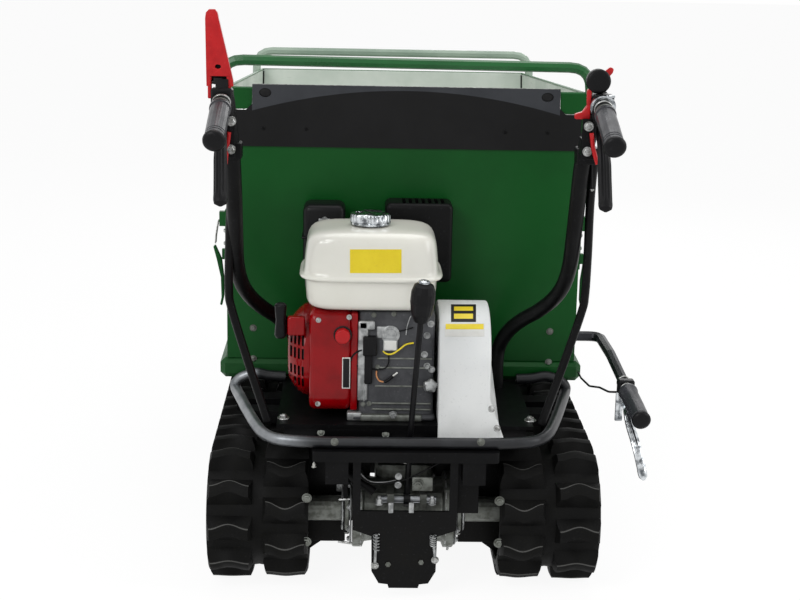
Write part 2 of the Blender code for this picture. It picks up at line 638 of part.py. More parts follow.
def engine():
    """Engine block with a slanted cylinder and a shelf for the air cleaner."""
    block = box("engine_block", ENGINE, (-0.086, 0.050), (0.100, 0.276),
                (PLATE_TOP + GAP, BLOCK_TOP), 0.010)
    head = box("engine_head", ENGINE, (-0.0955, 0.045), (0.262, 0.343), (0.372, 0.5147),
               0.008, 2, CUTTERS)
    shelf = box("engine_shelf", ENGINE, (-0.186, -0.090), (0.285, 0.335), (0.503, 0.5147),
                group=CUTTERS)
    feet = box("engine_feet", ENGINE, (-0.0955, 0.053), (0.090, 0.286),
               (PLATE_TOP + GAP, 0.3150), 0.004, 1, CUTTERS)
    join(block, head, shelf, feet)
    fan = soft_outline([(0.093, 0.318), (0.279, 0.318), (0.279, BLOCK_TOP - 0.0004),
                        (0.093, BLOCK_TOP - 0.0004)], 0.028, 4)
    plate("fan_cover", RED, [fan], 0.075, (-0.1345, 0.0, 0.0))
    shell = soft_outline([(0.130, 0.326), (0.240, 0.326), (0.266, 0.352), (0.266, 0.470),
                          (0.240, 0.496), (0.130, 0.496), (0.104, 0.470), (0.104, 0.352)],
                         0.012, 2)
    recoil = as_mesh(plate("recoil_cover", RED, [shell], 0.039, (-0.1920, 0.0, 0.0)))
    guide = box("rope_guide", RED, (-0.2340, -0.205), (0.098, 0.126), (0.405, 0.4497),
                0.004, 1, CUTTERS)
    dome = turned("recoil_dome", RED, [(0.0, 0.010), (0.040, 0.010), (0.052, 0.004),
                                       (0.056, -0.004), (0.0, -0.004)],
                  (-0.2115, CRANK_Y, CRANK_Z), "-X", 20, CUTTERS)
    join(recoil, guide, dome)
    handle = [(0.0, 0.064), (0.007, 0.064), (0.011, 0.060), (0.0085, 0.032),
              (0.011, 0.006), (0.008, 0.0), (0.0, 0.0)]
    turned("starter_grip", PLASTIC, handle, (-0.2232, 0.112, 0.450), "Z", 16)
    knob = [(0.0, 0.016), (0.0125, 0.016), (0.0135, 0.013), (0.0135, 0.0), (0.0, 0.0)]
    turned("engine_switch", RED, knob, (-0.1130, 0.0927, 0.462),
           (math.pi / 2, 0.0, 0.0), 16)


def lofted(name, surface, rings, centre, power=5.0, steps=24):
    """Closed body through rounded rings, each given as height, half width and half depth."""
    mesh = bpy.data.meshes.new(name)
    skin = bmesh.new()
    layers = []
    for height, half_x, half_y in rings:
        layer = []
        for step in range(steps):
            angle = math.tau * (step + 0.5) / steps
            across, along = math.cos(angle), math.sin(angle)
            x = half_x * math.copysign(abs(across) ** (2 / power), across)
            y = half_y * math.copysign(abs(along) ** (2 / power), along)
            layer.append(skin.verts.new((centre[0] + x, centre[1] + y, height)))
        layers.append(layer)
    for lower, upper in zip(layers, layers[1:]):
        for step in range(steps):
            after = (step + 1) % steps
            skin.faces.new((lower[step], lower[after], upper[after], upper[step]))
    skin.faces.new(reversed(layers[0]))
    skin.faces.new(layers[-1])
    skin.to_mesh(mesh)
    skin.free()
    body = place(bpy.data.objects.new(name, mesh), surface)
    mesh.shade_smooth()
    mesh.set_sharp_from_angle(angle=math.radians(40))
    return body


def tank():
    """Crowned tank with a waist flange and filler neck, and its turned cap."""
    low = BLOCK_TOP + GAP
    rings = [(low, 0.100, 0.070), (0.5105, 0.109, 0.079), (0.525, 0.1145, 0.0840),
             (0.5835, 0.1170, 0.0860), (0.5845, 0.1250, 0.0935), (0.5880, 0.1270, 0.0950),
             (0.5915, 0.1250, 0.0935), (0.5930, 0.1200, 0.0890), (0.6250, 0.1165, 0.0850),
             (0.6350, 0.1130, 0.0810), (0.6405, 0.1030, 0.0720), (0.6435, 0.070, 0.048)]
    body = lofted("fuel_tank", CREAM, rings, (-0.064, 0.170))
    neck = cylinder("tank_neck", CREAM, 0.026, (-0.010, 0.008), (-0.066, 0.165, 0.640), "Z",
                    20, CUTTERS)
    join(body, neck)
    cap = [(0.0, 0.020), (0.030, 0.020), (0.036, 0.016), (0.038, 0.002), (0.036, 0.0),
           (0.0, 0.0)]
    turned("fuel_cap", CHROME, cap, (-0.066, 0.165, 0.6483), "Z", 20)


def engine_covers():
    """Air cleaner, slotted muffler guard and the two belt covers."""
    box("air_cleaner", PLASTIC, (-0.190, -0.112), (0.274, 0.345), (0.5150, 0.660), 0.012)
    guard = box("muffler_guard", BLACK, (-0.038, 0.088), (0.274, 0.345), (0.5150, 0.665),
                0.008)
    slots = [box("guard_slot%d" % index, BLACK, (-0.006 + index * 0.012, index * 0.012),
                 (0.290, 0.330), (0.655, 0.680), group=CUTTERS) for index in range(7)]
    cut(guard, *slots)
    arch = [(CRANK_Y + DRIVE_RADIUS * math.cos(a), CRANK_Z + DRIVE_RADIUS * math.sin(a))
            for a in (step * math.pi / 12 for step in range(13))]
    low = PLATE_TOP + GAP
    foot = [(CRANK_Y - DRIVE_RADIUS - 0.002, 0.330), (CRANK_Y - DRIVE_RADIUS - 0.020, low),
            (CRANK_Y + DRIVE_RADIUS + 0.004, low)]
    cover = as_mesh(plate("belt_cover", WHITE, [arch + foot], 0.082, (0.0985, 0.0, 0.0)))
    flare = plate("belt_flare", WHITE, [[(0.130, 0.368), (0.1395, 0.368), (0.1490, 0.330),
                                         (0.1760, low), (0.130, low)]],
                  2 * DRIVE_RADIUS - 0.004, (0.0, CRANK_Y, 0.0), "XZ", CUTTERS)
    join(cover, as_mesh(flare))
    top = BASE_BOTTOM - 0.0053
    lower = [(0.240 + 0.050 * math.cos(a), 0.185 + 0.050 * math.sin(a))
             for a in (math.pi + step * math.pi / 8 for step in range(9))]
    plate("belt_guard", BLACK, [[(0.190, top), *lower, (0.290, top)]], 0.036,
          (0.0765, 0.0, 0.0))


def skip():
    """Shell with a sloped nose, on its base frame with the pivot lugs."""
    sheet = 0.003
    floor = BASE_TOP + GAP
    slope = (SKIP_LIP - SKIP_FLOOR_END) / (SKIP_TOP_FRONT - floor)
    fall = (SKIP_TOP_FRONT - SKIP_TOP_REAR) / (SKIP_LIP - SKIP_REAR)
    nose = sheet * math.hypot(1.0, slope)
    low_front = SKIP_FLOOR_END + sheet * slope - nose
    at_rim = SKIP_FLOOR_END + (SKIP_TOP_REAR - fall * SKIP_REAR - floor) * slope - nose
    high_front = at_rim / (1 - fall * slope)

    def shell(half, bottom, rear, front, high):
        rims = [(y, SKIP_TOP_REAR + fall * (y - SKIP_REAR)) for y in (rear, high)]
        places = [(rear, bottom), (front, bottom), rims[1], rims[0]]
        return [tub.verts.new((x, y, z)) for x in (-half, half) for y, z in places]

    mesh = bpy.data.meshes.new("skip_body")
    tub = bmesh.new()
    outer = shell(SKIP_HALF, floor, SKIP_REAR, SKIP_FLOOR_END, SKIP_LIP)
    inner = shell(SKIP_HALF - sheet, floor + sheet, SKIP_REAR + sheet, low_front, high_front)
    walls = [(0, 1, 5, 4), (0, 4, 7, 3), (1, 2, 6, 5), (0, 3, 2, 1), (4, 5, 6, 7)]
    for corners in walls:
        tub.faces.new([outer[c] for c in corners])
        tub.faces.new([inner[c] for c in reversed(corners)])
    for start, end in ((2, 3), (3, 7), (7, 6), (6, 2)):
        tub.faces.new((outer[start], outer[end], inner[end], inner[start]))
    bmesh.ops.recalc_face_normals(tub, faces=tub.faces)
    tub.to_mesh(mesh)
    tub.free()
    place(bpy.data.objects.new("skip_body", mesh), PALE)
    base = box("skip_base", GREEN, (-BASE_HALF, BASE_HALF),
               (SKIP_REAR - 0.006, PIVOT_Y + 0.020),
               (BASE_BOTTOM, BASE_TOP), 0.010, 1)
    lugs = [box("pivot_lug", GREEN, span(side, 0.1455, 0.1605), (PIVOT_Y - 0.015, PIVOT_Y + 0.016),
                (0.264, 0.312), group=CUTTERS) for side in (-1, 1)]
    join(base, *lugs)
    cut(base, cylinder("pivot_bore", GREEN, 0.0085, (-0.2, 0.2), (0.0, PIVOT_Y, PIVOT_Z),
                       "X", 16, CUTTERS))
    rear_plate()
    z = SKIP_TOP_REAR
    x = SKIP_HALF + GAP + 0.010
    y = SKIP_REAR + 0.027
    tube("load_hoop", GREEN, [(-x, y, z - 0.075), (-x, y, z + 0.049), (x, y, z + 0.045),
                              (x, y, z - 0.075)], 0.010, 0.042, 5)
    y = SKIP_LIP - 0.030
    z = SKIP_TOP_FRONT + 0.049
    tube("nose_rail", GREEN, [(-x, y - 0.05, z - 0.150), (-x, y, z), (x, y, z),
                              (x, y - 0.05, z - 0.150)], 0.010, 0.04, 4)


def rear_plate():
    """Black dash panel on the rear wall, stepped at its upper corners, with two hand holes."""
    half = [(0.330, 0.756), (0.330, 0.824), (0.300, 0.824), (0.288, 0.836), (0.288, 0.872)]
    whole = half + [(-x, z) for x, z in reversed(half)]
    eyes = [ring_outline(0.0115, 0.0085, (side * 0.264, 0.8565), 16) for side in (-1, 1)]
    plate("rear_plate", BLACK, [whole, *eyes], 0.003, (0.0, SKIP_REAR - GAP - 0.0015, 0.0),
          "XZ")


def skip_latches():
    """Toggle latch on each rear corner: a strap with its catch, and the hinged lever."""
    for label, side in (("left", -1), ("right", 1)):
        x = SKIP_HALF + GAP
        strap = box("latch_strap_" + label, GREEN, span(side, x, x + 0.003),
                    (0.364, 0.380), (0.525, 0.632))
        catch = box("latch_catch_" + label, GREEN, span(side, x + 0.002, x + 0.014),
                    (0.365, 0.379), (0.600, 0.628), group=CUTTERS)
        pin = box("latch_lug_" + label, GREEN, span(side, x + 0.002, x + 0.0095),
                  (0.367, 0.377), (0.535, 0.555), group=CUTTERS)
        join(strap, catch, pin)
        lever = [(x + 0.010, 0.535), (x + 0.022, 0.562), (x + 0.026, 0.560),
                 (x + 0.0195, 0.535), (x + 0.012, 0.500), (x + 0.011, 0.460),
                 (x + 0.014, 0.446), (x + 0.010, 0.444), (x + 0.006, 0.462),
                 (x + 0.006, 0.500)]
        outline = [(side * px, pz) for px, pz in lever]
        plate("side_latch_" + label, GREEN, [outline], 0.014, (0.0, 0.372, 0.0), "XZ")


def tip_handle():
    """Tipping handle on the skip's right side with its grip, perch, lever and cable."""
    tube("tip_handle", GREEN, TIP_ROUTE, 0.010, 0.04, 5)
    end = Vector(TIP_ROUTE[-1])
    run = Vector(TIP_ROUTE[-2]) - end
    turn = run.to_track_quat("Z", "Y").to_euler()
    grip = [(0.0, -0.0055), (0.0135, -0.0055), (0.0160, -0.0030), (0.0155, 0.100),
            (0.0170, 0.102), (0.0170, 0.108), (0.0107, 0.108), (0.0107, -0.0004),
            (0.0, -0.0004)]
    turned("tip_grip", GRIP, list(reversed(grip)), end, turn, 20)
    spot = end + run.normalized() * 0.128
    perch = box("tip_perch", STEEL, (spot.x - 0.015, spot.x + 0.015),
                (spot.y - 0.010, spot.y + 0.010), (spot.z - 0.034, spot.z + 0.014), 0.003, 1)
    bore = as_mesh(tube("tip_bore", STEEL, TIP_ROUTE, 0.0105, 0.04, 5, CUTTERS))
    slot = box("tip_slot", STEEL, (spot.x - 0.0075, spot.x + 0.0075),
               (spot.y - 0.02, spot.y + 0.02), (spot.z - 0.05, spot.z - 0.0135),
               group=CUTTERS)
    cut(perch, bore, slot)
    hub = cylinder("tip_lever", CHROME, 0.0075, (-0.007, 0.007),
                   (spot.x, spot.y, spot.z - 0.0235), "X", 14)
    route = [(spot.x, spot.y - 0.003, spot.z - 0.025), (spot.x - 0.001, 0.060, 0.318),
             (0.404, 0.015, 0.285), (0.416, -0.006, 0.232)]
    join(hub, as_mesh(tube("tip_blade", CHROME, route, 0.0060, 0.03, 3, CUTTERS)))
    cable = [(spot.x - 0.0155, spot.y, spot.z - 0.010),
             (spot.x - 0.0300, spot.y, spot.z - 0.010), (BASE_HALF + 0.0090, 0.180, 0.344),
             (BASE_HALF + 0.0030, 0.260, 0.322), (BASE_HALF - 0.0045, 0.320, 0.320),
             (BASE_HALF - 0.0055, SKIP_REAR - 0.0065, 0.322)]
    tube("tip_cable", PLASTIC, cable, 0.0020, 0.06, 3)


running_gear()
gearbox()
selector_and_gear_lever()
chassis()
deck()
handlebars()
hand_controls()
engine()
tank()
engine_covers()
skip()
skip_latches()
tip_handle()
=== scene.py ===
import json
import math

import bmesh
import bpy
from mathutils import Matrix, Vector
from mathutils.bvhtree import BVHTree

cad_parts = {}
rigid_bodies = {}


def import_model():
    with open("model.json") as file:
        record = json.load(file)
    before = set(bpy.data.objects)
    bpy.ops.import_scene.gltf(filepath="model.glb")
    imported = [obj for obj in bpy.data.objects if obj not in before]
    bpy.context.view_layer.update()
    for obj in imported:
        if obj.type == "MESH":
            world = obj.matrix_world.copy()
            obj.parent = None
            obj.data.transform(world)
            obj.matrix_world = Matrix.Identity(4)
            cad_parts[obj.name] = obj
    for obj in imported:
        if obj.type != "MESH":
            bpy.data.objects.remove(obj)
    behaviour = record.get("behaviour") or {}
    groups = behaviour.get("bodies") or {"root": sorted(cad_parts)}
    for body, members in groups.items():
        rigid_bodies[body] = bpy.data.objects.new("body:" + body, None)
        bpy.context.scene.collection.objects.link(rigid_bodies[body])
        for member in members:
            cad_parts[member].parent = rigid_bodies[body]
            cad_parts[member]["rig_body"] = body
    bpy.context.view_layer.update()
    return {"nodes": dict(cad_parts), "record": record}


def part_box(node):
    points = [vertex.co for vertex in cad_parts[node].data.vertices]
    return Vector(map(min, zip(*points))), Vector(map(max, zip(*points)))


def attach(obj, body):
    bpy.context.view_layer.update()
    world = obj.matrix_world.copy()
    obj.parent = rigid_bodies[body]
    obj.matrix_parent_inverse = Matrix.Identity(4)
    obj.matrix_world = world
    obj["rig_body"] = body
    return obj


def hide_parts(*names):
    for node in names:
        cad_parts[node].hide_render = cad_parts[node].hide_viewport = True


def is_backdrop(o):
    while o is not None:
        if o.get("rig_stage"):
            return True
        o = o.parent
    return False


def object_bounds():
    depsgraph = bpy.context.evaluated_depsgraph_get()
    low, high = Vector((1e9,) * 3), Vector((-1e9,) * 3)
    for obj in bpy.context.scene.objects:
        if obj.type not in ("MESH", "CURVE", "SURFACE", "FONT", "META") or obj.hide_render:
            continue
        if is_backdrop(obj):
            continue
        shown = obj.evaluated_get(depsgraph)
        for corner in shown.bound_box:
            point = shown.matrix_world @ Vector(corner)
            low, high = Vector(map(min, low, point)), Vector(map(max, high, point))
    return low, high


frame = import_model()
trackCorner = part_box("track_left")[0]
shiftX, shiftY = trackCorner.x + 0.35, trackCorner.y  # machine centre line, rear of tracks
slotOf = {row["node"]: row["material_slot"] for row in frame["record"]["subparts"]}


def at(x, y, z):  # machine place to the frame's place
    return Vector((x + shiftX, y + shiftY, z))


def srgb(red, green, blue):
    def linear(level):
        level /= 255
        return level / 12.92 if level <= 0.04045 else ((level + 0.055) / 1.055) ** 2.4
    return (linear(red), linear(green), linear(blue), 1.0)


class Num:
    # a number socket that takes Python operators
    def __init__(self, kit, socket):
        self.kit, self.socket = kit, socket


def giveOperator(label, operation):
    setattr(Num, "__%s__" % label, lambda self, other: self.kit.maths(operation, self, other))
    setattr(Num, "__r%s__" % label, lambda self, other: self.kit.maths(operation, other, self))


for label, operation in (("add", "ADD"), ("sub", "SUBTRACT"), ("mul", "MULTIPLY"),
        ("pow", "POWER"), ("gt", "GREATER_THAN"), ("lt", "LESS_THAN")):
    giveOperator(label, operation)


class Kit:
    # short ways to build a node tree
    def __init__(self, tree):
        self.tree = tree
        tree.nodes.clear()

    def add(self, kind, settings=None, values=None):
        made = self.tree.nodes.new(kind)
        for name, value in (settings or {}).items():
            setattr(made, name, value)
        for key, value in (values or {}).items():
            self.feed(made.inputs[key], value)
        return made

    def feed(self, socket, value):
        if isinstance(value, Num):
            value = value.socket
        if isinstance(value, bpy.types.NodeSocket):
            self.tree.links.new(value, socket)
        else:
            socket.default_value = value

    def num(self, made, output=0):
        return Num(self, made.outputs[output])

    def maths(self, operation, *terms):
        made = self.add("ShaderNodeMath", {"operation": operation})
        for socket, term in zip(made.inputs, terms):
            self.feed(socket, term)
        return self.num(made)

    def ramp(self, value, low, high):  # 0 below low, 1 above high
        made = self.add("ShaderNodeMapRange", {"clamp": True, "interpolation_type": "SMOOTHSTEP"},
            {"Value": value, "From Min": low, "From Max": high})
        return self.num(made, "Result")

    def mixColour(self, share, first, second):
        made = self.add("ShaderNodeMix", {"data_type": "RGBA"}, {"Factor": share})
        for socket, colour in zip([s for s in made.inputs if s.type == "RGBA"], (first, second)):
            self.feed(socket, colour)
        return [s for s in made.outputs if s.type == "RGBA"][0]

    def drift(self, cloud, first, second, low=0.35, high=0.68):  # one tone into the next
        return self.mixColour(self.ramp(cloud, low, high), srgb(*first), srgb(*second))

    def noise(self, place, scale, detail=3.0, rough=0.55):
        made = self.add("ShaderNodeTexNoise", None, {"Vector": place, "Scale": scale,
                "Detail": detail, "Roughness": rough})
        return self.num(made, "Fac")

    def stretched(self, place, scale):
        return self.add("ShaderNodeMapping", None, {"Vector": place, "Scale": scale}).outputs[0]

    def axes(self, place):
        split = self.add("ShaderNodeSeparateXYZ", None, {0: place})
        return [self.num(split, axis) for axis in "XYZ"]


def startFinish(name, look):
    made = bpy.data.materials.new(name)
    made.use_nodes = True
    kit = Kit(made.node_tree)
    shader = kit.add("ShaderNodeBsdfPrincipled")
    kit.add("ShaderNodeOutputMaterial", None, {"Surface": shader.outputs[0]})
    fixed = {"Specular IOR Level": look["shine"]} if "shine" in look else {}
    for key, value in {**fixed, **look.get("fixed", {})}.items():
        shader.inputs[key].default_value = value
    return made, kit, shader, kit.add("ShaderNodeTexCoord").outputs["Object"]


def endFinish(kit, shader, values, height, strength, reach):
    # base colour, roughness and the like, with a fine bump
    for key, value in values.items():
        kit.feed(shader.inputs[key], value)
    bump = kit.add("ShaderNodeBump", None, {"Height": height, "Strength": strength,
            "Distance": reach})
    kit.feed(shader.inputs["Normal"], bump.outputs[0])


def coated(name, colour, tone, speckColour, rough, look):
    # colour drifting between two tones, fine specks, uneven gloss and a fine skin
    look = {"cloudScale": 9.0, "grainScale": 420.0, "speckAmount": 0.25, "bump": 0.15,
        "reach": 0.0004, **look}
    made, kit, shader, place = startFinish(name, look)
    cloud = kit.noise(place, look["cloudScale"], 4.0, 0.6)
    speck = kit.noise(place, 220.0, 2.0, 0.5)
    grain = kit.noise(place, look["grainScale"], 3.0, 0.6)
    paint = kit.mixColour(kit.ramp(speck, 0.62, 0.74) * look["speckAmount"],
        kit.drift(cloud, colour, tone), srgb(*speckColour))
    gloss = rough[0] + kit.ramp(cloud, 0.3, 0.7) * (rough[1] - rough[0]) + speck * 0.04
    if "dust" in look:  # settled dirt that thins out upwards
        dustColour, bottom, top, amount = look["dust"]
        fall = 1 - kit.ramp(kit.axes(place)[2], bottom, top)
        share = fall * kit.ramp(cloud, 0.35, 0.6) * amount
        paint = kit.mixColour(share, paint, srgb(*dustColour))
        gloss = gloss + share * 0.3
    if "rim" in look:  # painted highlight line along an edge, from the mesh's own attribute
        edge = kit.num(kit.add("ShaderNodeAttribute", {"attribute_name": "rim"}), "Fac")
        paint = kit.mixColour(kit.ramp(edge, 0.72, 0.95) * (0.55 + cloud * 0.6), paint,
            srgb(*look["rim"]))
    endFinish(kit, shader, {"Base Color": paint, "Roughness": gloss}, grain, look["bump"],
        look["reach"])
    return made


def brushed(name, colour, tone, rough, look):
    # bare or plated metal: fine lines one way, blotches of zinc and dull spots
    look = {"blotch": 30.0, "metal": 0.9, "dull": 0.2, "bump": 0.1, "reach": 0.0003, **look}
    made, kit, shader, place = startFinish(name, look)
    lines = kit.noise(kit.stretched(place, look["stretch"]), 1.0, 4.0, 0.6)
    blotch = kit.noise(place, look["blotch"], 3.0, 0.55)
    paint = kit.drift(blotch, colour, tone, 0.38, 0.66)
    paint = kit.mixColour(kit.ramp(lines, 0.55, 0.8) * 0.35, paint, srgb(*tone))
    endFinish(kit, shader, {
            "Base Color": paint, "Roughness": rough[0] + blotch * (rough[1] - rough[0]) + lines * 0.08,
            "Metallic": look["metal"] - kit.ramp(blotch, 0.62, 0.8) * look["dull"]},
        lines + blotch * 0.6, look["bump"], look["reach"])
    return made


# colour, second tone, speck colour, least and most roughness, what differs from the usual
coatedLooks = {
    "greenPaint": ((13, 80, 29), (8, 66, 22), (36, 104, 52), (0.3, 0.42), {
        "cloudScale": 5.0, "bump": 0.12, "speckAmount": 0.12, "shine": 0.16,
        "dust": ((52, 84, 56), 0.3, 0.42, 0.25)}),
    "tubeGreen": ((24, 98, 45), (18, 84, 37), (60, 130, 76), (0.16, 0.26), {
        "cloudScale": 8.0, "bump": 0.08, "speckAmount": 0.1, "shine": 0.35}),
    "blackPaint": ((14, 14, 15), (8, 8, 9), (60, 61, 64), (0.3, 0.44), {
        "cloudScale": 12.0, "bump": 0.2, "speckAmount": 0.2, "shine": 0.1,
        "dust": ((44, 43, 38), 0.05, 0.24, 0.16)}),
    "trackRubber": ((10, 10, 10), (15, 15, 14), (44, 43, 40), (0.5, 0.68), {
        "cloudScale": 22.0, "grainScale": 260.0, "bump": 0.35, "reach": 0.0007,
        # the light grey "rim" colour is a painted highlight along the lugs' crown edges
        "speckAmount": 0.2, "rim": (96, 96, 94), "shine": 0.1}),
    "gripRubber": ((54, 55, 60), (40, 41, 45), (90, 91, 97), (0.24, 0.36), {
        "cloudScale": 40.0, "grainScale": 700.0, "bump": 0.3, "shine": 0.45}),
    "blackPlastic": ((15, 15, 17), (10, 10, 12), (44, 44, 47), (0.3, 0.42), {
        "cloudScale": 30.0, "grainScale": 900.0, "bump": 0.25, "shine": 0.15}),
    "engineRed": ((150, 0, 8), (126, 0, 5), (158, 14, 18), (0.14, 0.22), {
        "cloudScale": 14.0, "bump": 0.08, "speckAmount": 0.1, "shine": 0.24}),
    "leverRed": ((196, 26, 30), (178, 18, 24), (214, 60, 58), (0.24, 0.34), {
        "cloudScale": 40.0, "grainScale": 800.0, "shine": 0.3}),
    "tankCream": ((243, 242, 233), (238, 237, 226), (206, 204, 192), (0.14, 0.24), {
        "cloudScale": 6.0, "bump": 0.05, "speckAmount": 0.08,
        "fixed": {"Coat Weight": 0.4, "Coat Roughness": 0.06}}),
    "coverWhite": ((243, 245, 244), (237, 240, 240), (196, 200, 200), (0.3, 0.42), {
        "cloudScale": 7.0, "bump": 0.1, "dust": ((204, 206, 202), 0.3, 0.36, 0.3)}),
    "engineGrey": ((74, 75, 78), (56, 57, 60), (124, 124, 126), (0.42, 0.58), {
        "cloudScale": 25.0, "grainScale": 300.0, "bump": 0.4, "reach": 0.0008, "shine": 0.3,
        "fixed": {"Metallic": 0.2}}),
    "hazeGreen": ((158, 176, 160), (138, 158, 142), (190, 200, 190), (0.4, 0.55), {}),
    "labelYellow": ((246, 222, 40), (240, 214, 32), (222, 192, 48), (0.35, 0.45), {
        "cloudScale": 30.0, "bump": 0.05}),
    "wireOrange": ((216, 150, 96), (200, 132, 82), (226, 170, 120), (0.35, 0.45), {
        "cloudScale": 60.0, "bump": 0.05}),
    "labelBlack": ((16, 16, 17), (24, 24, 25), (50, 50, 50), (0.35, 0.5), {
        "cloudScale": 30.0, "bump": 0.05, "shine": 0.2}),
    "labelWhite": ((232, 232, 228), (222, 222, 216), (204, 204, 198), (0.35, 0.5), {
        "cloudScale": 30.0, "bump": 0.05})}
# colour, second tone, least and most roughness, what differs from the usual
brushedLooks = {
    "castSteel": ((122, 125, 120), (92, 94, 88), (0.34, 0.58), {
        "metal": 0.75, "dull": 0.5, "blotch": 60.0, "stretch": (120, 120, 120), "bump": 0.5,
        "reach": 0.001}),
    "zincSteel": ((150, 153, 156), (118, 121, 124), (0.24, 0.4), {
        "metal": 0.95, "stretch": (30, 500, 500)}),
    "alloy": ((176, 178, 178), (128, 130, 130), (0.34, 0.5), {
        "metal": 0.7, "dull": 0.4, "blotch": 70.0, "stretch": (90, 90, 240), "bump": 0.35,
        "reach": 0.0006}),
    "darkTube": ((44, 46, 51), (30, 31, 35), (0.26, 0.4), {
        "metal": 0.6, "stretch": (60, 60, 60), "blotch": 18.0}),
    "boltSteel": ((186, 187, 186), (118, 118, 114), (0.22, 0.42), {
        "metal": 0.95, "blotch": 140.0, "stretch": (300, 300, 300)}),
    "chrome": ((214, 218, 221), (96, 100, 104), (0.08, 0.16), {
        "metal": 1.0, "dull": 0.0, "blotch": 90.0, "stretch": (220, 60, 60), "bump": 0.05})}


def skipFinish():
    # green outside; the inner faces are pale, with darker scratches
    made, kit, shader, place = startFinish("skipPaint", {"shine": 0.16})
    facing = kit.add("ShaderNodeTexCoord").outputs["Normal"]
    arm = kit.add("ShaderNodeVectorMath", {"operation": "SUBTRACT"},
        {0: place, 1: at(0, 0.87, 0.6)})
    dot = kit.add("ShaderNodeVectorMath", {"operation": "DOT_PRODUCT"},
        {0: arm.outputs[0], 1: facing})
    inside = kit.num(dot, "Value") < 0.0
    cloud = kit.noise(place, 6.0, 4.0, 0.6)
    scratch = kit.noise(kit.stretched(place, (9, 9, 90)), 1.0, 5.0, 0.65)
    outer = kit.drift(cloud, (12, 78, 28), (10, 71, 25))
    inner = kit.drift(cloud, (222, 228, 220), (200, 210, 200), 0.3, 0.7)
    inner = kit.mixColour(kit.ramp(scratch, 0.6, 0.75) * 0.4, inner, srgb(150, 166, 152))
    endFinish(kit, shader, {"Base Color": kit.mixColour(inside, outer, inner),
            "Roughness": 0.32 + cloud * 0.12 + inside * 0.15},
        kit.noise(place, 420.0) + scratch * 0.5, 0.12, 0.0005)
    return made


def plateFinish():
    # black sheet with a lighter band above a shallow arch
    made, kit, shader, place = startFinish("platePaint", {"shine": 0.18})
    arch = {"top": 0.864, "fall": 0.494, "half": 0.2885}
    x, z = kit.axes(place)[::2]
    x = x - at(0, 0, 0).x
    above = kit.ramp(z + x * x * arch["fall"] - arch["top"], -0.0006, 0.0008)
    band = above * (kit.maths("ABSOLUTE", x) < arch["half"])
    cloud, grain = kit.noise(place, 10.0, 4.0, 0.6), kit.noise(place, 420.0)
    black = kit.drift(cloud, (15, 15, 16), (9, 9, 10))
    grey = kit.drift(cloud, (60, 62, 66), (50, 52, 56))
    endFinish(kit, shader, {"Base Color": kit.mixColour(band, black, grey),
            "Roughness": 0.38 + cloud * 0.12 - band * 0.06}, grain, 0.15, 0.0004)
    return made


def bumperFinish():
    # dark plated tube with a painted highlight: paler and more metallic towards its left end, dark
    # again at its foot
    made, kit, shader, place = startFinish("bumperTube", {})
    x, y = kit.axes(place)[:2]
    across, along = x - at(0, 0, 0).x, y - at(0, 0, 0).y
    foot = kit.ramp(across, -0.284, -0.272) * (along > 0.32)
    # painted highlight: the paler left end stands for a lamp's reflection on the bend, cut off at the
    # foot
    paintedHighlight = (1 - kit.ramp(across, -0.225, -0.15)) * (1 - foot)
    cloud, grain = kit.noise(place, 26.0, 4.0, 0.6), kit.noise(place, 300.0)
    dark = kit.drift(cloud, (25, 26, 29), (36, 38, 41))
    # grey of the painted highlight
    pale = kit.drift(cloud, (136, 139, 142), (104, 108, 112))
    endFinish(kit, shader, {"Base Color": kit.mixColour(paintedHighlight, dark, pale),
            "Roughness": 0.34 + grain * 0.1, "Metallic": 0.35 + paintedHighlight * 0.45},
        grain + cloud, 0.2, 0.0004)
    return made


finishes = {"bumperTube": bumperFinish(), "skipPaint": skipFinish(), "platePaint": plateFinish()}
for name, look in coatedLooks.items():
    finishes[name] = coated(name, *look)
for name, look in brushedLooks.items():
    finishes[name] = brushed(name, *look)
ownFinish = {"bumper_loop": "bumperTube", "gate_beam": "blackPaint", "gear_lever": "blackPlastic",
    "rear_plate": "platePaint", "load_hoop": "tubeGreen", "nose_rail": "hazeGreen",
    "tip_handle": "darkTube"}


def slotFinish(slotName):  # black_paint to blackPaint
    first, *rest = slotName.split("_")
    return first + "".join(word.capitalize() for word in rest)


for name, slotName in slotOf.items():
    node = frame["nodes"][name]
    node.data.materials.clear()
    node.data.materials.append(finishes[ownFinish.get(name, slotFinish(slotName))])
print("finishes on", len(frame["nodes"]), "CAD nodes")


def newPiece(name, mesh):
    piece = bpy.data.objects.new(name, mesh)
    bpy.context.scene.collection.objects.link(piece)
    return piece


def bmeshOf(mesh):
    bm = bmesh.new()
    bm.from_mesh(mesh)
    return bm


def asMesh(bm, mesh):
    bm.to_mesh(mesh)
    bm.free()
    return mesh


def coat(mesh, finish, smooth):
    # one finish, and smooth shading up to an angle
    mesh.materials.clear()
    mesh.materials.append(finishes[finish])
    mesh.shade_smooth()
    mesh.set_sharp_from_angle(angle=math.radians(smooth))


def settle(name, mesh, finish, smooth=40):
    bm = bmeshOf(mesh)
    bmesh.ops.remove_doubles(bm, verts=bm.verts, dist=0.000005)
    bmesh.ops.recalc_face_normals(bm, faces=bm.faces)
    coat(asMesh(bm, mesh), finish, smooth)
    return newPiece(name, mesh)


def meshPiece(name, points, faces, finish, smooth=40):
    mesh = bpy.data.meshes.new(name)
    mesh.from_pydata([tuple(p) for p in points], [], faces)
    return settle(name, mesh, finish, smooth)


def ringFaces(rings, sides):
    # faces of a closed body through rings of equal point counts
    faces = []
    for ring in range(rings - 1):
        for side in range(sides):
            a, b = ring * sides + side, ring * sides + (side + 1) % sides
            faces.append((a, b, b + sides, a + sides))
    return faces + [tuple(reversed(range(sides))), tuple(range((rings - 1) * sides, rings * sides))]


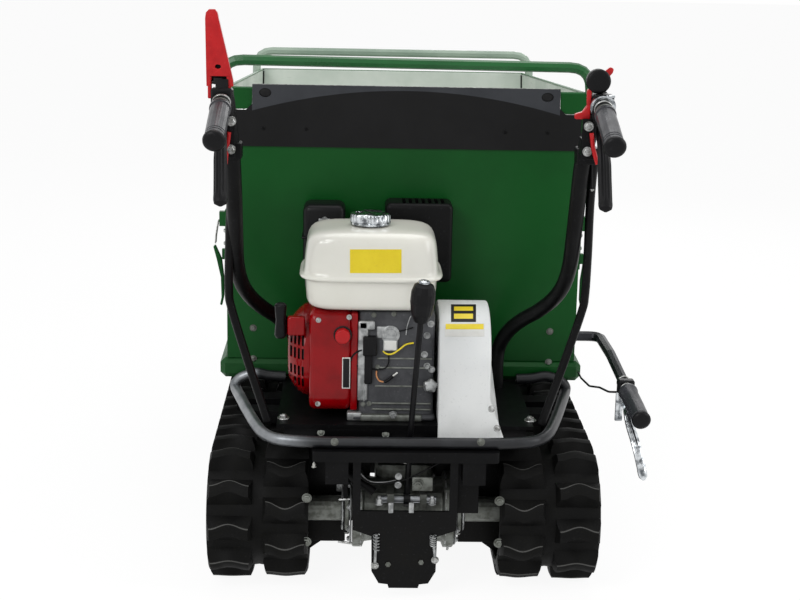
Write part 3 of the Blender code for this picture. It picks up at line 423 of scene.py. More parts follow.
def finished(piece):  # modifiers into the mesh
    bpy.context.view_layer.update()
    view = bpy.context.evaluated_depsgraph_get()
    mesh = bpy.data.meshes.new_from_object(piece.evaluated_get(view))
    piece.modifiers.clear()
    old = piece.data
    piece.data = mesh
    bpy.data.meshes.remove(old)
    return piece


def joined(name, pieces):
    # several pieces into one mesh; materials keep their faces
    bm = bmesh.new()
    mesh = bpy.data.meshes.new(name)
    edgeHighlights = []
    for piece in pieces:
        start = len(bm.faces)
        # the painted edge highlight mask rides along with each piece
        held = piece.data.attributes.get("rim")
        edgeHighlights += [item.value for item in held.data] if held else [0.0] * len(piece.data.vertices)
        bm.from_mesh(piece.data)
        bm.faces.ensure_lookup_table()
        for surface in piece.data.materials:
            if surface.name not in mesh.materials:
                mesh.materials.append(surface)
        places = [mesh.materials.find(m.name) for m in piece.data.materials]
        for face in bm.faces[start:]:
            face.material_index = places[face.material_index]
    asMesh(bm, mesh)
    if any(edgeHighlights):
        layer = mesh.attributes.get("rim") or mesh.attributes.new("rim", "FLOAT", "POINT")
        layer.data.foreach_set("value", edgeHighlights)
    for piece in pieces:
        bpy.data.objects.remove(piece, do_unlink=True)
    return newPiece(name, mesh)


def turned(name, profile, start, axis, finish, steps=48, ripple=None):
    # profile of (along, radius) turned about axis from start, closed at both ends
    axis = Vector(axis).normalized()
    side = axis.orthogonal().normalized()
    other = axis.cross(side)
    points = []
    for along, radius in profile:
        for step in range(steps):
            angle = math.tau * step / steps
            r = radius * (ripple(angle, along) if ripple else 1.0)
            points.append(Vector(start) + axis * along + (side * math.cos(angle)
                    + other * math.sin(angle)) * r)
    return meshPiece(name, points, ringFaces(len(profile), steps), finish)


def smoothRoute(route, steps=8):
    # Catmull-Rom through the points
    route = [Vector(p) for p in route]
    ends = [route[0] * 2 - route[1], *route, route[-1] * 2 - route[-2]]
    made = []
    for a, b, c, d in zip(ends, ends[1:], ends[2:], ends[3:]):
        for step in range(steps):
            t = step / steps
            made.append(0.5 * ((2 * b) + (c - a) * t + (2 * a - 5 * b + 4 * c - d) * t * t
                    + (3 * b - a - 3 * c + d) * t ** 3))
    return made + [route[-1]]


def swept(name, route, radius, finish, sides=12):
    # closed round tube along the points
    points = []
    run = [Vector(p) for p in route]
    frameUp = (run[1] - run[0]).orthogonal().normalized()
    for i, p in enumerate(run):
        ahead = (run[min(i + 1, len(run) - 1)] - run[max(i - 1, 0)]).normalized()
        frameUp = (frameUp - ahead * frameUp.dot(ahead)).normalized()
        across = ahead.cross(frameUp)
        for s in range(sides):
            a = math.tau * s / sides
            points.append(p + (frameUp * math.cos(a) + across * math.sin(a)) * radius)
    return meshPiece(name, points, ringFaces(len(run), sides), finish)


def softBlock(name, low, high, finish, bevel=0.002, segments=3):
    bm = bmesh.new()
    bmesh.ops.create_cube(bm, size=1.0)
    low, high = Vector(low), Vector(high)
    for v in bm.verts:
        v.co = Vector((low[i] + (v.co[i] + 0.5) * (high[i] - low[i]) for i in range(3)))
    bmesh.ops.bevel(bm, geom=bm.edges[:], offset=bevel, segments=segments, profile=0.5,
        affect="EDGES")
    return settle(name, asMesh(bm, bpy.data.meshes.new(name)), finish, 30)


def lofted(name, rings, centre, finish, power, steps, smooth):
    # closed body through rounded rings of height, half width, half depth
    points = []
    for height, halfX, halfY in rings:
        for step in range(steps):
            a = math.tau * (step + 0.5) / steps
            c, s = math.cos(a), math.sin(a)
            points.append(at(centre[0] + halfX * math.copysign(abs(c) ** (2 / power), c),
                    centre[1] + halfY * math.copysign(abs(s) ** (2 / power), s), height))
    return meshPiece(name, points, ringFaces(len(rings), steps), finish, smooth)


def cutOut(piece, cutters):
    for cutter in cutters:
        cut = piece.modifiers.new("cut", "BOOLEAN")
        cut.operation, cut.solver, cut.object = "DIFFERENCE", "EXACT", cutter
    finished(piece)
    for cutter in cutters:
        bpy.data.objects.remove(cutter, do_unlink=True)
    piece.data.shade_smooth()
    piece.data.set_sharp_from_angle(angle=math.radians(30))


def onBody(body, *pieces):
    for piece in pieces:
        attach(piece, body)


def standIn(piece, node):
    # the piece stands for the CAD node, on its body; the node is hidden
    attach(piece, frame["nodes"][node]["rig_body"])
    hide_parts(node)
    return piece


def dressed(node, bevel, segments, finish=None):
    # a merged copy of the CAD node with softened edges, which stands for it
    source = frame["nodes"][node]
    mesh = source.data.copy()
    bm = bmeshOf(mesh)
    bmesh.ops.remove_doubles(bm, verts=bm.verts, dist=0.00001)
    bmesh.ops.dissolve_limit(bm, angle_limit=math.radians(0.6), verts=bm.verts, edges=bm.edges)
    piece = newPiece(node + ".shape", asMesh(bm, mesh))
    if finish:
        piece.data.materials.clear()
        piece.data.materials.append(finishes[finish])
    soft = piece.modifiers.new("soft", "BEVEL")
    soft.width, soft.segments, soft.limit_method = bevel, segments, "ANGLE"
    soft.angle_limit = math.radians(35)
    cutOut(piece, [])
    standIn(piece, node)


def startTree(name, **inputs):
    tree = bpy.data.node_groups.new(name, "GeometryNodeTree")
    for label, kind in {"Geometry": "Geometry", **inputs, "Material": "Material"}.items():
        tree.interface.new_socket(label, in_out="INPUT", socket_type="NodeSocket" + kind)
    tree.interface.new_socket("Geometry", in_out="OUTPUT", socket_type="NodeSocketGeometry")
    kit = Kit(tree)
    source = kit.add("NodeGroupInput")
    return tree, kit, source, lambda label: Num(kit, source.outputs[label])


def endTree(kit, source, instance, rotation, values=None):
    # the instance at each point, painted with the given material
    spread = kit.add("GeometryNodeInstanceOnPoints", None,
        {"Points": source.outputs["Geometry"], "Instance": instance,
            "Rotation": rotation.outputs[0], **(values or {})})
    whole = kit.add("GeometryNodeRealizeInstances", None, {0: spread.outputs[0]})
    painted = kit.add("GeometryNodeSetMaterial", None,
        {"Geometry": whole.outputs[0], "Material": source.outputs["Material"]})
    kit.add("NodeGroupOutput", None, {0: painted.outputs[0]})


def grown(name, tree, base, values, finish):
    # runs a tree on base and keeps the plain mesh
    grower = base.modifiers.new("grow", "NODES")
    grower.node_group = tree
    values = {**values, "Material": finishes[finish]}
    for item in tree.interface.items_tree:
        if item.in_out == "INPUT" and item.name in values:
            grower[item.identifier] = values[item.name]
    finished(base)
    base.name = base.data.name = name
    coat(base.data, finish, 35)
    return base


def pointCloud(name, spots):
    # vertices only; each spot is a place with number or vector attributes
    mesh = bpy.data.meshes.new(name)
    mesh.from_pydata([tuple(s["place"]) for s in spots], [], [])
    for key in spots[0]:
        if key == "place":
            continue
        kind = "FLOAT_VECTOR" if hasattr(spots[0][key], "__len__") else "FLOAT"
        layer = mesh.attributes.new(key, kind, "POINT")
        for item, spot in zip(layer.data, spots):
            if kind == "FLOAT":
                item.value = spot[key]
            else:
                item.vector = spot[key]
    return newPiece(name, mesh)


def named(kit, label, kind):
    made = kit.add("GeometryNodeInputNamedAttribute", {"data_type": kind}, {"Name": label})
    return made.outputs["Attribute"]


def lugTree():
    # a tapered bar at each point, bowed along the belt, turned about X by "turn"
    labels = ("Width", "Base", "Crown", "Height", "Bow", "Ends", "Rim")
    tree, kit, source, get = startTree("lugs", **dict.fromkeys(labels, "Float"))
    bar = kit.add("GeometryNodeMeshCube", None,
        {"Size": (1.0, 1.0, 1.0), "Vertices X": 15, "Vertices Y": 5, "Vertices Z": 4})
    x, y, z = kit.axes(kit.add("GeometryNodeInputPosition").outputs[0])
    up = z + 0.5
    wide = get("Width") - get("Ends") * up ** 2.2
    deep = get("Base") + (get("Crown") - get("Base")) * up
    bow = kit.maths("COSINE", x * math.tau) * get("Bow") * up
    crown = 1 - (kit.maths("ABSOLUTE", y) * 2) ** 2.0 * 0.06 * up
    moved = kit.add("ShaderNodeCombineXYZ", None, {"X": x * wide, "Y": y * deep + bow,
            "Z": up * crown * get("Height")})
    # one crown edge of each lug, kept as an attribute for a painted highlight line in the rubber's
    # finish
    edge = (up > 0.98) * (y > 0.49) * get("Rim")
    marked = kit.add("GeometryNodeStoreNamedAttribute", {"data_type": "FLOAT", "domain": "POINT"},
        {"Geometry": bar.outputs["Mesh"], "Name": "rim", "Value": edge})
    shaped = kit.add("GeometryNodeSetPosition", None,
        {"Geometry": marked.outputs[0], "Position": moved.outputs[0]})
    turn = kit.add("ShaderNodeCombineXYZ", None, {"X": named(kit, "turn", "FLOAT")})
    rotation = kit.add("FunctionNodeEulerToRotation", None, {0: turn.outputs[0]})
    endTree(kit, source, shaped.outputs[0], rotation)
    return tree


def boltTree():
    # washer, chamfered hexagon head and stud end, Z along "facing", scaled by "size"
    tree, kit, source, get = startTree("bolts", Head="Float", Washer="Float", Stud="Float")
    whole = kit.add("GeometryNodeJoinGeometry")
    for vertices, bottom, top, depth, lift in (
            (24, get("Washer"), get("Washer") * 0.96, 0.16, -0.02),
            (6, 1.0, 1.0, get("Head") * 0.8, 0.14),
            (6, 1.0, 0.82, get("Head") * 0.2, 0.139 + get("Head") * 0.8),
            (12, 0.52, 0.46, get("Stud"), 0.13 + get("Head"))):
        drum = kit.add("GeometryNodeMeshCone", None, {"Vertices": vertices, "Radius Bottom": bottom,
                "Radius Top": top, "Depth": depth})
        move = kit.add("ShaderNodeCombineXYZ", None, {"Z": lift})
        part = kit.add("GeometryNodeTransform", None, {"Geometry": drum.outputs["Mesh"],
                "Translation": move.outputs[0]})
        kit.tree.links.new(part.outputs[0], whole.inputs[0])
    rotation = kit.add("FunctionNodeAlignRotationToVector", {"axis": "Z"},
        {"Vector": named(kit, "facing", "FLOAT_VECTOR")})
    endTree(kit, source, whole.outputs[0], rotation, {"Scale": named(kit, "size", "FLOAT")})
    return tree


lugsTree, boltsTree = lugTree(), boltTree()


def bolts(name, rows, finish="boltSteel", head=0.7, washer=1.5, stud=0.25, body="chassis"):
    # rows of (place, facing, size)
    base = pointCloud(name, [{"place": at(*p), "facing": Vector(f), "size": s}
            for p, f, s in rows])
    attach(grown(name, boltsTree, base, {"Head": head, "Washer": washer, "Stud": stud}, finish),
        body)


# camera fitted to the photo, then lights and paper
view = {"focal": 1532.98, "pitch": 0.2414, "yaw": 0.0319, "roll": 0.0205,
    "x": -0.09658, "back": 2.51635, "height": 1.16909}


def viewAxes():
    ahead = Vector((math.sin(view["yaw"]) * math.cos(view["pitch"]),
            math.cos(view["yaw"]) * math.cos(view["pitch"]), -math.sin(view["pitch"])))
    right = Vector((math.cos(view["yaw"]), -math.sin(view["yaw"]), 0.0))
    up = right.cross(ahead)
    c, s = math.cos(view["roll"]), math.sin(view["roll"])
    return ahead, right * c + up * s, up * c - right * s


def seen(column, row, depth=None, height=None):
    # the machine place that shows at this column and row, on a standing or a level plane
    ahead, right, up = viewAxes()
    ray = ahead + right * ((column - 400) / view["focal"]) - up * ((row - 300) / view["focal"])
    eye = Vector((view["x"], -view["back"], view["height"]))
    reach = (depth - eye.y) / ray.y if height is None else (height - eye.z) / ray.z
    return eye + ray * reach


def makeCamera():
    ahead, right, up = viewAxes()
    data = bpy.data.cameras.new("camera")
    data.sensor_width, data.lens = 36.0, 36.0 * view["focal"] / 800
    data.clip_start, data.clip_end = 0.05, 100.0
    camera = newPiece("camera", data)
    place = at(view["x"], -view["back"], view["height"])
    camera.matrix_world = Matrix((*zip(right, up, -ahead, place), (0, 0, 0, 1)))
    bpy.context.scene.camera = camera


# place, target, size and power of each lamp
lamps = {"keyLamp": ((-1.7, -2.6, 2.5), (0, -0.3, 0.4), (1.6, 1.6), 44.0),
    "sideLamp": ((2.4, -1.2, 1.6), (0, -0.2, 0.4), (1.2, 1.8), 20.0),
    "topLamp": ((0.2, 0.3, 3.0), (0, 0, 0.5), (2.0, 2.4), 24.0),
    "frontLamp": ((0.8, 3.0, 1.8), (0, 0.4, 0.5), (1.8, 1.2), 12.0)}
stageSizes = {"world": 0.36, "floor": 22.0, "drop": 0.0006, "paper": 0.92, "glow": 1.05,
    "glowShare": 0.88}


def makeLamp(name, place, target, size, power):
    data = bpy.data.lights.new(name, "AREA")
    data.shape, data.size, data.size_y, data.energy = "RECTANGLE", size[0], size[1], power
    lamp = newPiece(name, data)
    lamp.location = Vector(place)
    lamp.rotation_mode = "QUATERNION"
    lamp.rotation_quaternion = (Vector(place) - Vector(target)).to_track_quat("Z", "Y")


def rayShare(kit, *kinds):
    # 1 for rays of these kinds
    path = kit.add("ShaderNodeLightPath")
    share = kit.num(path, kinds[0])
    for kind in kinds[1:]:
        share = kit.maths("MAXIMUM", share, kit.num(path, kind))
    return share


def makeStage():
    scene = bpy.context.scene
    scene.view_settings.view_transform = "Standard"
    scene.world = bpy.data.worlds.new("studio")
    scene.world.use_nodes = True
    kit = Kit(scene.world.node_tree)
    direct = rayShare(kit, "Is Camera Ray", "Is Glossy Ray", "Is Transmission Ray")
    level = stageSizes["world"]
    back = kit.add("ShaderNodeBackground", None, {"Color": (1, 1, 1, 1),
            "Strength": level + direct * (1 - level)})
    kit.add("ShaderNodeOutputWorld", None, {"Surface": back.outputs[0]})
    bm = bmesh.new()
    bmesh.ops.create_grid(bm, x_segments=2, y_segments=2, size=stageSizes["floor"])
    floor = newPiece("floor", asMesh(bm, bpy.data.meshes.new("floor")))
    floor.location = (0, 0, -stageSizes["drop"])
    paper = bpy.data.materials.new("paper")
    paper.use_nodes = True
    kit = Kit(paper.node_tree)
    tone = stageSizes["paper"]
    matt = kit.add("ShaderNodeBsdfDiffuse", None, {"Color": (tone, tone, tone, 1)})
    glow = kit.add("ShaderNodeEmission", None, {"Color": (1, 1, 1, 1),
            "Strength": stageSizes["glow"]})
    share = rayShare(kit, "Is Camera Ray", "Is Glossy Ray") * stageSizes["glowShare"]
    both = kit.add("ShaderNodeMixShader", None, {0: share, 1: matt.outputs[0],
            2: glow.outputs[0]})
    kit.add("ShaderNodeOutputMaterial", None, {"Surface": both.outputs[0]})
    floor.data.materials.append(paper)
    floor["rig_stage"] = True
    for name, lamp in lamps.items():
        makeLamp(name, *lamp)


makeCamera()
makeStage()
print("camera and stage")


# small makers; they ride on the chassis unless body says otherwise
def block(name, low, high, finish, bevel=0.0015, body="chassis"):
    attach(softBlock(name, at(*low), at(*high), finish, bevel), body)


def tube(name, points, radius, finish, sides=10, body="chassis"):
    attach(swept(name, [at(*p) for p in points], radius, finish, sides), body)


def wire(name, points, radius, finish, body="chassis"):
    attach(swept(name, smoothRoute([at(*p) for p in points], 6), radius, finish, 10), body)


def seenAll(spots, *depth):
    # places of (column, row) or (column, row, depth) spots
    return [seen(*spot, *depth) for spot in spots]


def blockSeen(name, top, bottom, depth, rear, front, finish, bevel, body="chassis", rise=0.0):
    # a block between two corners as seen at a depth, from rear to front
    high, low = seenAll((top, bottom), depth)
    block(name, (high.x, rear, low.z), (low.x, front, high.z + rise), finish, bevel, body)


def boltsSeen(name, spots, size, depth=None, height=None, facing=(0, -1, 0), **form):
    bolts(name, [(seen(c, r, depth, height), facing, size) for c, r in spots], **form)


def ringed(name, low, high, radius, thick, finish, body="chassis"):
    # a band round a straight bar from low to high
    low, high = Vector(low), Vector(high)
    length = (high - low).length
    profile = [(0, radius), (0, radius + thick * 0.7), (length * 0.15, radius + thick),
        (length * 0.85, radius + thick), (length, radius + thick * 0.7), (length, radius)]
    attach(turned(name, profile, at(*low), high - low, finish, 40), body)


trackSizes = {"pitches": 42, "pitch": 0.06, "pitchRadius": 0.6 / math.tau, "wheelbase": 0.96,
    "width": 0.18, "x": 0.26, "axle": 0.125, "inner": 0.0895, "outer": 0.104,
    "stations": 252, "lugShift": 0.0495, "outerBow": 0.005, "innerBow": -0.0064,
    "lugSeat": 0.0025, "lugTop": 0.1249, "hornSeat": 0.001, "hornTop": 0.0725,
    # the lugs carry a painted highlight line along their crown edges, the horns none
    "lug": {"Width": 0.08, "Base": 0.046, "Crown": 0.021, "Ends": 0.012, "Rim": 1.0},
    "horn": {"Width": 0.024, "Base": 0.029, "Crown": 0.014, "Ends": 0.006, "Rim": 0.0,
        "Bow": 0.0}}


def onLoop(distance, radius):
    # place and turn beside the pitch line, forward along the top run first
    size = trackSizes
    arc, base = math.pi * size["pitchRadius"], size["wheelbase"]
    distance %= 2 * (base + arc)
    if distance < base:
        y, z, turn = distance, radius, 0.0
    elif distance < base + arc:
        turn = -(distance - base) / size["pitchRadius"]
        y, z = base - radius * math.sin(turn), radius * math.cos(turn)
    elif distance < 2 * base + arc:
        y, z, turn = 2 * base + arc - distance, -radius, math.pi
    else:
        turn = math.pi - (distance - 2 * base - arc) / size["pitchRadius"]
        y, z = -radius * math.sin(turn), radius * math.cos(turn)
    return (y + size["axle"], z + size["axle"], turn)


def makeTrack(side, node):
    size = trackSizes
    length, half = size["pitches"] * size["pitch"], size["width"] / 2
    inner, outer = size["inner"], size["outer"]
    ring = [(-half, inner + 0.003), (-half + 0.003, inner), (half - 0.003, inner),
        (half, inner + 0.003), (half, outer - 0.003), (half - 0.005, outer),
        (0.012, outer + 0.0006), (0.0, outer - 0.0012), (-0.012, outer + 0.0006),
        (-half + 0.005, outer), (-half, outer - 0.003)]
    points, faces = [], []
    for station in range(size["stations"]):
        for x, radius in ring:
            y, z, turn = onLoop(length * station / size["stations"], radius)
            points.append(at(side * size["x"] + x, y, z))
    for station in range(size["stations"]):
        for i in range(len(ring)):
            a = station * len(ring) + i
            b = station * len(ring) + (i + 1) % len(ring)
            c = (station + 1) % size["stations"] * len(ring)
            faces.append((a, b, c + (i + 1) % len(ring), c + i))
    parts = [meshPiece(node + ".band", points, faces, "trackRubber")]
    lugHeight = size["lugTop"] - outer + size["lugSeat"]
    # shift across, start along, distance from the pitch line, extra turn, form
    rows = []
    for row in (-1, 1):
        start, bow = (0.5, size["outerBow"]) if row == side else (0.0, size["innerBow"])
        rows.append((row * size["lugShift"], start, outer - size["lugSeat"], 0.0,
            {**size["lug"], "Height": lugHeight, "Bow": bow}))
    rows.append((0.0, 0.5, inner + size["hornSeat"], math.pi,
        {**size["horn"], "Height": inner + size["hornSeat"] - size["hornTop"]}))
    for shift, start, radius, extra, form in rows:
        spots = []
        for tooth in range(size["pitches"]):
            y, z, turn = onLoop((tooth + start) * size["pitch"], radius)
            spots.append({"place": at(side * size["x"] + shift, y, z), "turn": turn + extra})
        parts.append(grown(node + ".lugs", lugsTree, pointCloud("lugs", spots), form,
                "trackRubber"))
    standIn(joined(node + ".shape", parts), node)


for side, label in ((-1, "left"), (1, "right")):
    makeTrack(side, "track_" + label)
print("tracks")


# rings of height, half width and half depth; the seam flange is the widest
tankSizes = {"centre": (-0.064, 0.17),
    "rings": [(0.5052, 0.094, 0.066), (0.5062, 0.101, 0.073), (0.509, 0.107, 0.0785),
        (0.513, 0.1115, 0.082), (0.52, 0.1145, 0.0842), (0.54, 0.116, 0.0855),
        (0.5555, 0.1168, 0.0861), (0.5587, 0.118, 0.0872), (0.5601, 0.1225, 0.0915),
        (0.5617, 0.1258, 0.0942), (0.564, 0.127, 0.095), (0.5663, 0.1258, 0.0942),
        (0.5677, 0.1228, 0.0915), (0.5695, 0.1204, 0.0897), (0.576, 0.1193, 0.0886),
        (0.6, 0.1172, 0.0866), (0.617, 0.1152, 0.0848), (0.6265, 0.113, 0.0832),
        (0.633, 0.1095, 0.0808), (0.6375, 0.1045, 0.0774), (0.6405, 0.098, 0.073),
        (0.6427, 0.089, 0.067), (0.6442, 0.077, 0.059), (0.6453, 0.062, 0.0485),
        (0.646, 0.044, 0.0345), (0.6464, 0.02, 0.016)]}
tankBody = lofted("fuel_tank.shape", tankSizes["rings"], tankSizes["centre"], "tankCream", 5.0,
    128, 60)
standIn(tankBody, "fuel_tank")


def skinPatch(name, piece, corners, finish, lift=0.0006, across=14, down=8):
    # thin label laid on the skin of a piece, between two corners as seen in the view
    left, top, right, bottom = corners
    bm = bmeshOf(piece.data)
    skin = BVHTree.FromBMesh(bm)
    points, faces = [], []
    for height in (-0.001, lift):
        for j in range(down + 1):
            for i in range(across + 1):
                c, r = left + (right - left) * i / across, top + (bottom - top) * j / down
                near, far = at(*seen(c, r, -0.2)), at(*seen(c, r, 0.2))
                place, normal = skin.ray_cast(near, (far - near).normalized())[:2]
                points.append(place + normal * height)
    bm.free()
    row, layer = across + 1, (across + 1) * (down + 1)
    for j in range(down):
        for i in range(across):
            a = j * row + i
            faces.append((a, a + 1, a + row + 1, a + row))
            faces.append((a + layer, a + row + layer, a + row + 1 + layer, a + 1 + layer))
    edge = [*range(across), *range(across, down * row + across, row)]
    edge += [*range(down * row + across, down * row, -1), *range(down * row, 0, -row)]
    for a, b in zip(edge, edge[1:] + edge[:1]):
        faces.append((b, a, a + layer, b + layer))
    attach(meshPiece(name, points, faces, finish, 30), "chassis")


skinPatch("tankPatch", tankBody, (350.0, 249.4, 401.5, 273.0), "labelYellow")

capSizes = {"centre": (-0.066, 0.165, 0.6483), "dip": 0.22, "skirt": 0.004, "neck": 0.6455,
    "profile": [(0.0, 0.034), (0.0006, 0.036), (0.004, 0.036), (0.0046, 0.0352), (0.005, 0.0362),
        (0.0165, 0.0358), (0.0185, 0.0345), (0.0195, 0.032), (0.019, 0.029), (0.0172, 0.025),
        (0.0168, 0.008), (0.018, 0.005), (0.0182, 0.001)]}


def capRipple(angle, along):
    # three wide dips and fine teeth above the skirt
    if along <= capSizes["skirt"]:
        return 1.0
    lobes = 0.5 + 0.5 * math.cos(3 * (angle - 0.55))
    shape = 1 - capSizes["dip"] * (1 - min(1.0, lobes * 2.4))
    return shape * (1 + 0.012 * math.cos(30 * angle))


onBody("chassis", turned("tankNeck", [(-0.006, 0.03), (0.0, 0.03), (0.0012, 0.029), (0.0016, 0.0262)],
        at(*capSizes["centre"][:2], capSizes["neck"]), (0, 0, 1), "boltSteel", 64))
standIn(turned("fuel_cap.shape", capSizes["profile"], at(*capSizes["centre"]), (0, 0, 1), "chrome",
        180, capRipple), "fuel_cap")
print("tank")

plateSizes = {"y": 0.3547, "half": 0.33, "step": 0.288, "low": 0.824, "high": 0.872,
    "eye": (0.264, 0.8565, 0.0113, 0.0083)}


def makePlateTrim():
    size = plateSizes
    step, low, top = size["step"], size["low"] + 0.0005, size["high"] - 0.0006
    corner = [(step + 0.012, low), (step + 0.0035, low + 0.0035), (step - 0.0002, low + 0.012)]
    edge = [(size["half"], low), *corner, (step, top)]
    edge = [(-x, z) for x, z in edge] + edge[::-1]
    # a thin bright steel line along the plate's top edge: a painted highlight where the edge catches
    # the light
    tube("plateEdge", [(x, size["y"] + 0.0008, z) for x, z in edge], 0.0012, "boltSteel", 8, "skip")
    plugs = []
    for side in (-1, 1):
        x, z, wide, high = size["eye"]
        plug = turned("plug", [(0, 1.0), (0.0004, 1.0), (0.0008, 0.9), (0.0009, 0.1)], (0, 0, 0),
            (0, -1, 0), "labelBlack", 48)
        plug.data.transform(Matrix.Diagonal((wide, 1, high, 1)))
        plug.data.transform(Matrix.Translation(at(side * x, size["y"] + 0.0018, z)))
        plugs.append(plug)
    onBody("skip", joined("platePlugs", plugs))
    bolts("plateScrews", [((x, size["y"], 0.79), (0, -1, 0), 0.0036)
            for x in (-0.267, -0.187, 0.187, 0.267)],
        "blackPaint", washer=1.3, stud=0.1, body="skip")


makePlateTrim()

handleSizes = {"shift": -0.004, "gripEnd": (0.306, -0.197, 0.84), "corner": (0.3035, -0.028, 0.905),
    "lever": [(0.3042, -0.064, 0.847), (0.3032, -0.11, 0.815), (0.3002, -0.15, 0.779),
        (0.2972, -0.19, 0.741)],
    "gripProfile": [(0.0, 0.008), (0.0004, 0.0125), (0.002, 0.0152), (0.0045, 0.0168),
        (0.007, 0.0174), (0.009, 0.017), (0.0098, 0.0158), (0.016, 0.016), (0.0164, 0.0152),
        (0.0182, 0.0152), (0.0186, 0.016), (0.0222, 0.016), (0.0226, 0.0152), (0.0244, 0.0152),
        (0.0248, 0.016), (0.06, 0.0162), (0.1, 0.016), (0.1048, 0.0158), (0.1056, 0.0174),
        (0.11, 0.0175), (0.1112, 0.0166), (0.1114, 0.015)],
    "capProfile": [(-0.0016, 0.006), (-0.0012, 0.012), (0.0004, 0.0158), (0.003, 0.0176),
        (0.0064, 0.018), (0.0084, 0.0176), (0.0092, 0.0164)],
    "blade": (0.0112, 0.0074), "bossPlace": (0.3042, -0.06, 0.85),
    "boss": [(-0.0065, 0.0085), (-0.006, 0.0092), (0.006, 0.0092), (0.0065, 0.0085)],
    "ribs": (16, 0.012), "rings": [(0.115, 0.118, "castSteel"),
        (0.127, 0.1315, "boltSteel")]}


def handlePlace(side, place):
    return Vector((side * place[0] + handleSizes["shift"], place[1], place[2]))


def barAxis(side, along):
    low, high = (handlePlace(side, handleSizes[k]) for k in ("gripEnd", "corner"))
    return low + (high - low).normalized() * along


def ribbed(count, depth, low=0.012, high=0.104):
    return lambda angle, along: 1 + depth * math.cos(count * angle) * (low < along < high)


def leverBlade(name, route, radii, finish, flutes=5, depth=0.1, sides=60):
    # a flattened blade with flutes along it, round at the end
    run = smoothRoute(route, 10)
    points = []
    across = Vector((1, 0, 0))
    for i, p in enumerate(run):
        share = i / (len(run) - 1)
        ahead = (run[min(i + 1, len(run) - 1)] - run[max(i - 1, 0)]).normalized()
        wide = (across - ahead * across.dot(ahead)).normalized()
        thick = ahead.cross(wide)
        tip = math.sqrt(max(0.0, 1 - max(0.0, (share - 0.93) / 0.07) ** 2)) * 0.75 + 0.25
        grow = 0.72 + 0.28 * min(1.0, share / 0.45)
        for s in range(sides):
            a = math.tau * s / sides
            flute = 1 - depth * (0.5 + 0.5 * math.cos(2 * flutes * a)) * (0.12 < share < 0.9)
            points.append(p + (wide * math.cos(a) * radii[0] + thick * math.sin(a) * radii[1])
                * flute * tip * grow)
    return meshPiece(name, points, ringFaces(len(run), sides), finish, 25)


def makeHandle(side, label):
    axis = barAxis(side, 1) - barAxis(side, 0)
    standIn(turned("grip_%s.shape" % label, handleSizes["gripProfile"], at(*barAxis(side, 0)),
            axis, "gripRubber", 96, ribbed(*handleSizes["ribs"])), "grip_" + label)
    onBody("chassis", turned("gripCap_" + label, handleSizes["capProfile"],
            at(*barAxis(side, 0)), axis, "blackPlastic", 72))
    blade = leverBlade("blade", [at(*handlePlace(side, p)) for p in handleSizes["lever"]],
        handleSizes["blade"], "blackPlastic")
    boss = turned("boss", handleSizes["boss"], at(*handlePlace(side, handleSizes["bossPlace"])),
        (1, 0, 0), "blackPlastic", 32)
    standIn(joined("steering_lever_%s.shape" % label, [blade, boss]), "steering_lever_" + label)
    for number, (low, high, finish) in enumerate(handleSizes["rings"]):
        ringed("barRing%d.%s" % (number, label), barAxis(side, low), barAxis(side, high), 0.0128,
            0.0024, finish)


handleRuns = {"radius": 0.0135, "strutRadius": 0.0075, "lowShift": -0.008,
    "shares": (0.04, 0.8, 0.93), "bend": [(0.302, -0.0185, 0.89), (0.2985, -0.0155, 0.86)],
    "clampX": ((0.2745, -0.006), (0.3095, -0.003)), "clampY": (-0.026, 0.008),
    "clampZ": (0.788, 0.815),
    "bar": [(0.289, -0.01, 0.794), (0.2885, 0.02, 0.722), (0.29, 0.06, 0.65), (0.291, 0.098, 0.59),
        (0.286, 0.13, 0.548), (0.274, 0.165, 0.514), (0.253, 0.205, 0.482), (0.23, 0.245, 0.455),
        (0.209, 0.28, 0.425), (0.195, 0.303, 0.392), (0.19, 0.309, 0.36), (0.19, 0.309, 0.3012)],
    "strut": [(0.3, -0.012, 0.806), (0.303, 0.03, 0.715), (0.3095, 0.07, 0.62), (0.313, 0.1, 0.538),
        (0.3085, 0.106, 0.502), (0.2785, 0.102, 0.402), (0.2515, 0.098, 0.318),
        (0.246, 0.097, 0.2995)]}


def makeRuns(side, label):
    # the bent bar and its support strut, with the clamp that joins them
    runs = handleRuns
    end, corner = (handlePlace(side, handleSizes[k]) for k in ("gripEnd", "corner"))
    upper = [end.lerp(corner, share) for share in runs["shares"]]
    upper += [handlePlace(side, place) for place in runs["bend"]]
    lower = [Vector((side * x + runs["lowShift"], y, z)) for x, y, z in runs["bar"]]
    bar = swept("handlebar_%s.shape" % label, smoothRoute([at(*p) for p in upper + lower], 8),
        runs["radius"], "blackPaint", 32)
    standIn(bar, "handlebar_" + label)
    rod = swept("rod", smoothRoute([at(side * x, y, z) for x, y, z in runs["strut"]], 8),
        runs["strutRadius"], "blackPaint", 20)
    across = sorted(side * x + shift for x, shift in runs["clampX"])
    clamp = softBlock("clamp", *(at(*corner) for corner in zip(across, runs["clampY"], runs["clampZ"])),
        "blackPaint", 0.003)
    standIn(joined("handle_strut_%s.shape" % label, [rod, clamp]), "handle_strut_" + label)


# corners of the bracket, its bolts and the red strip as seen in the view
bracketSizes = {"left": ((224, 117), (235, 158), [(231.2, 121.2), (230.7, 149.4)],
        [(229, 132), (227, 148), (225.5, 164)]),
    "right": ((583, 119), (594.5, 160), [(588.8, 126.4), (587.3, 151.6)],
        [(591.5, 133), (593.5, 150), (597.5, 164)]),
    "depth": -0.0735}

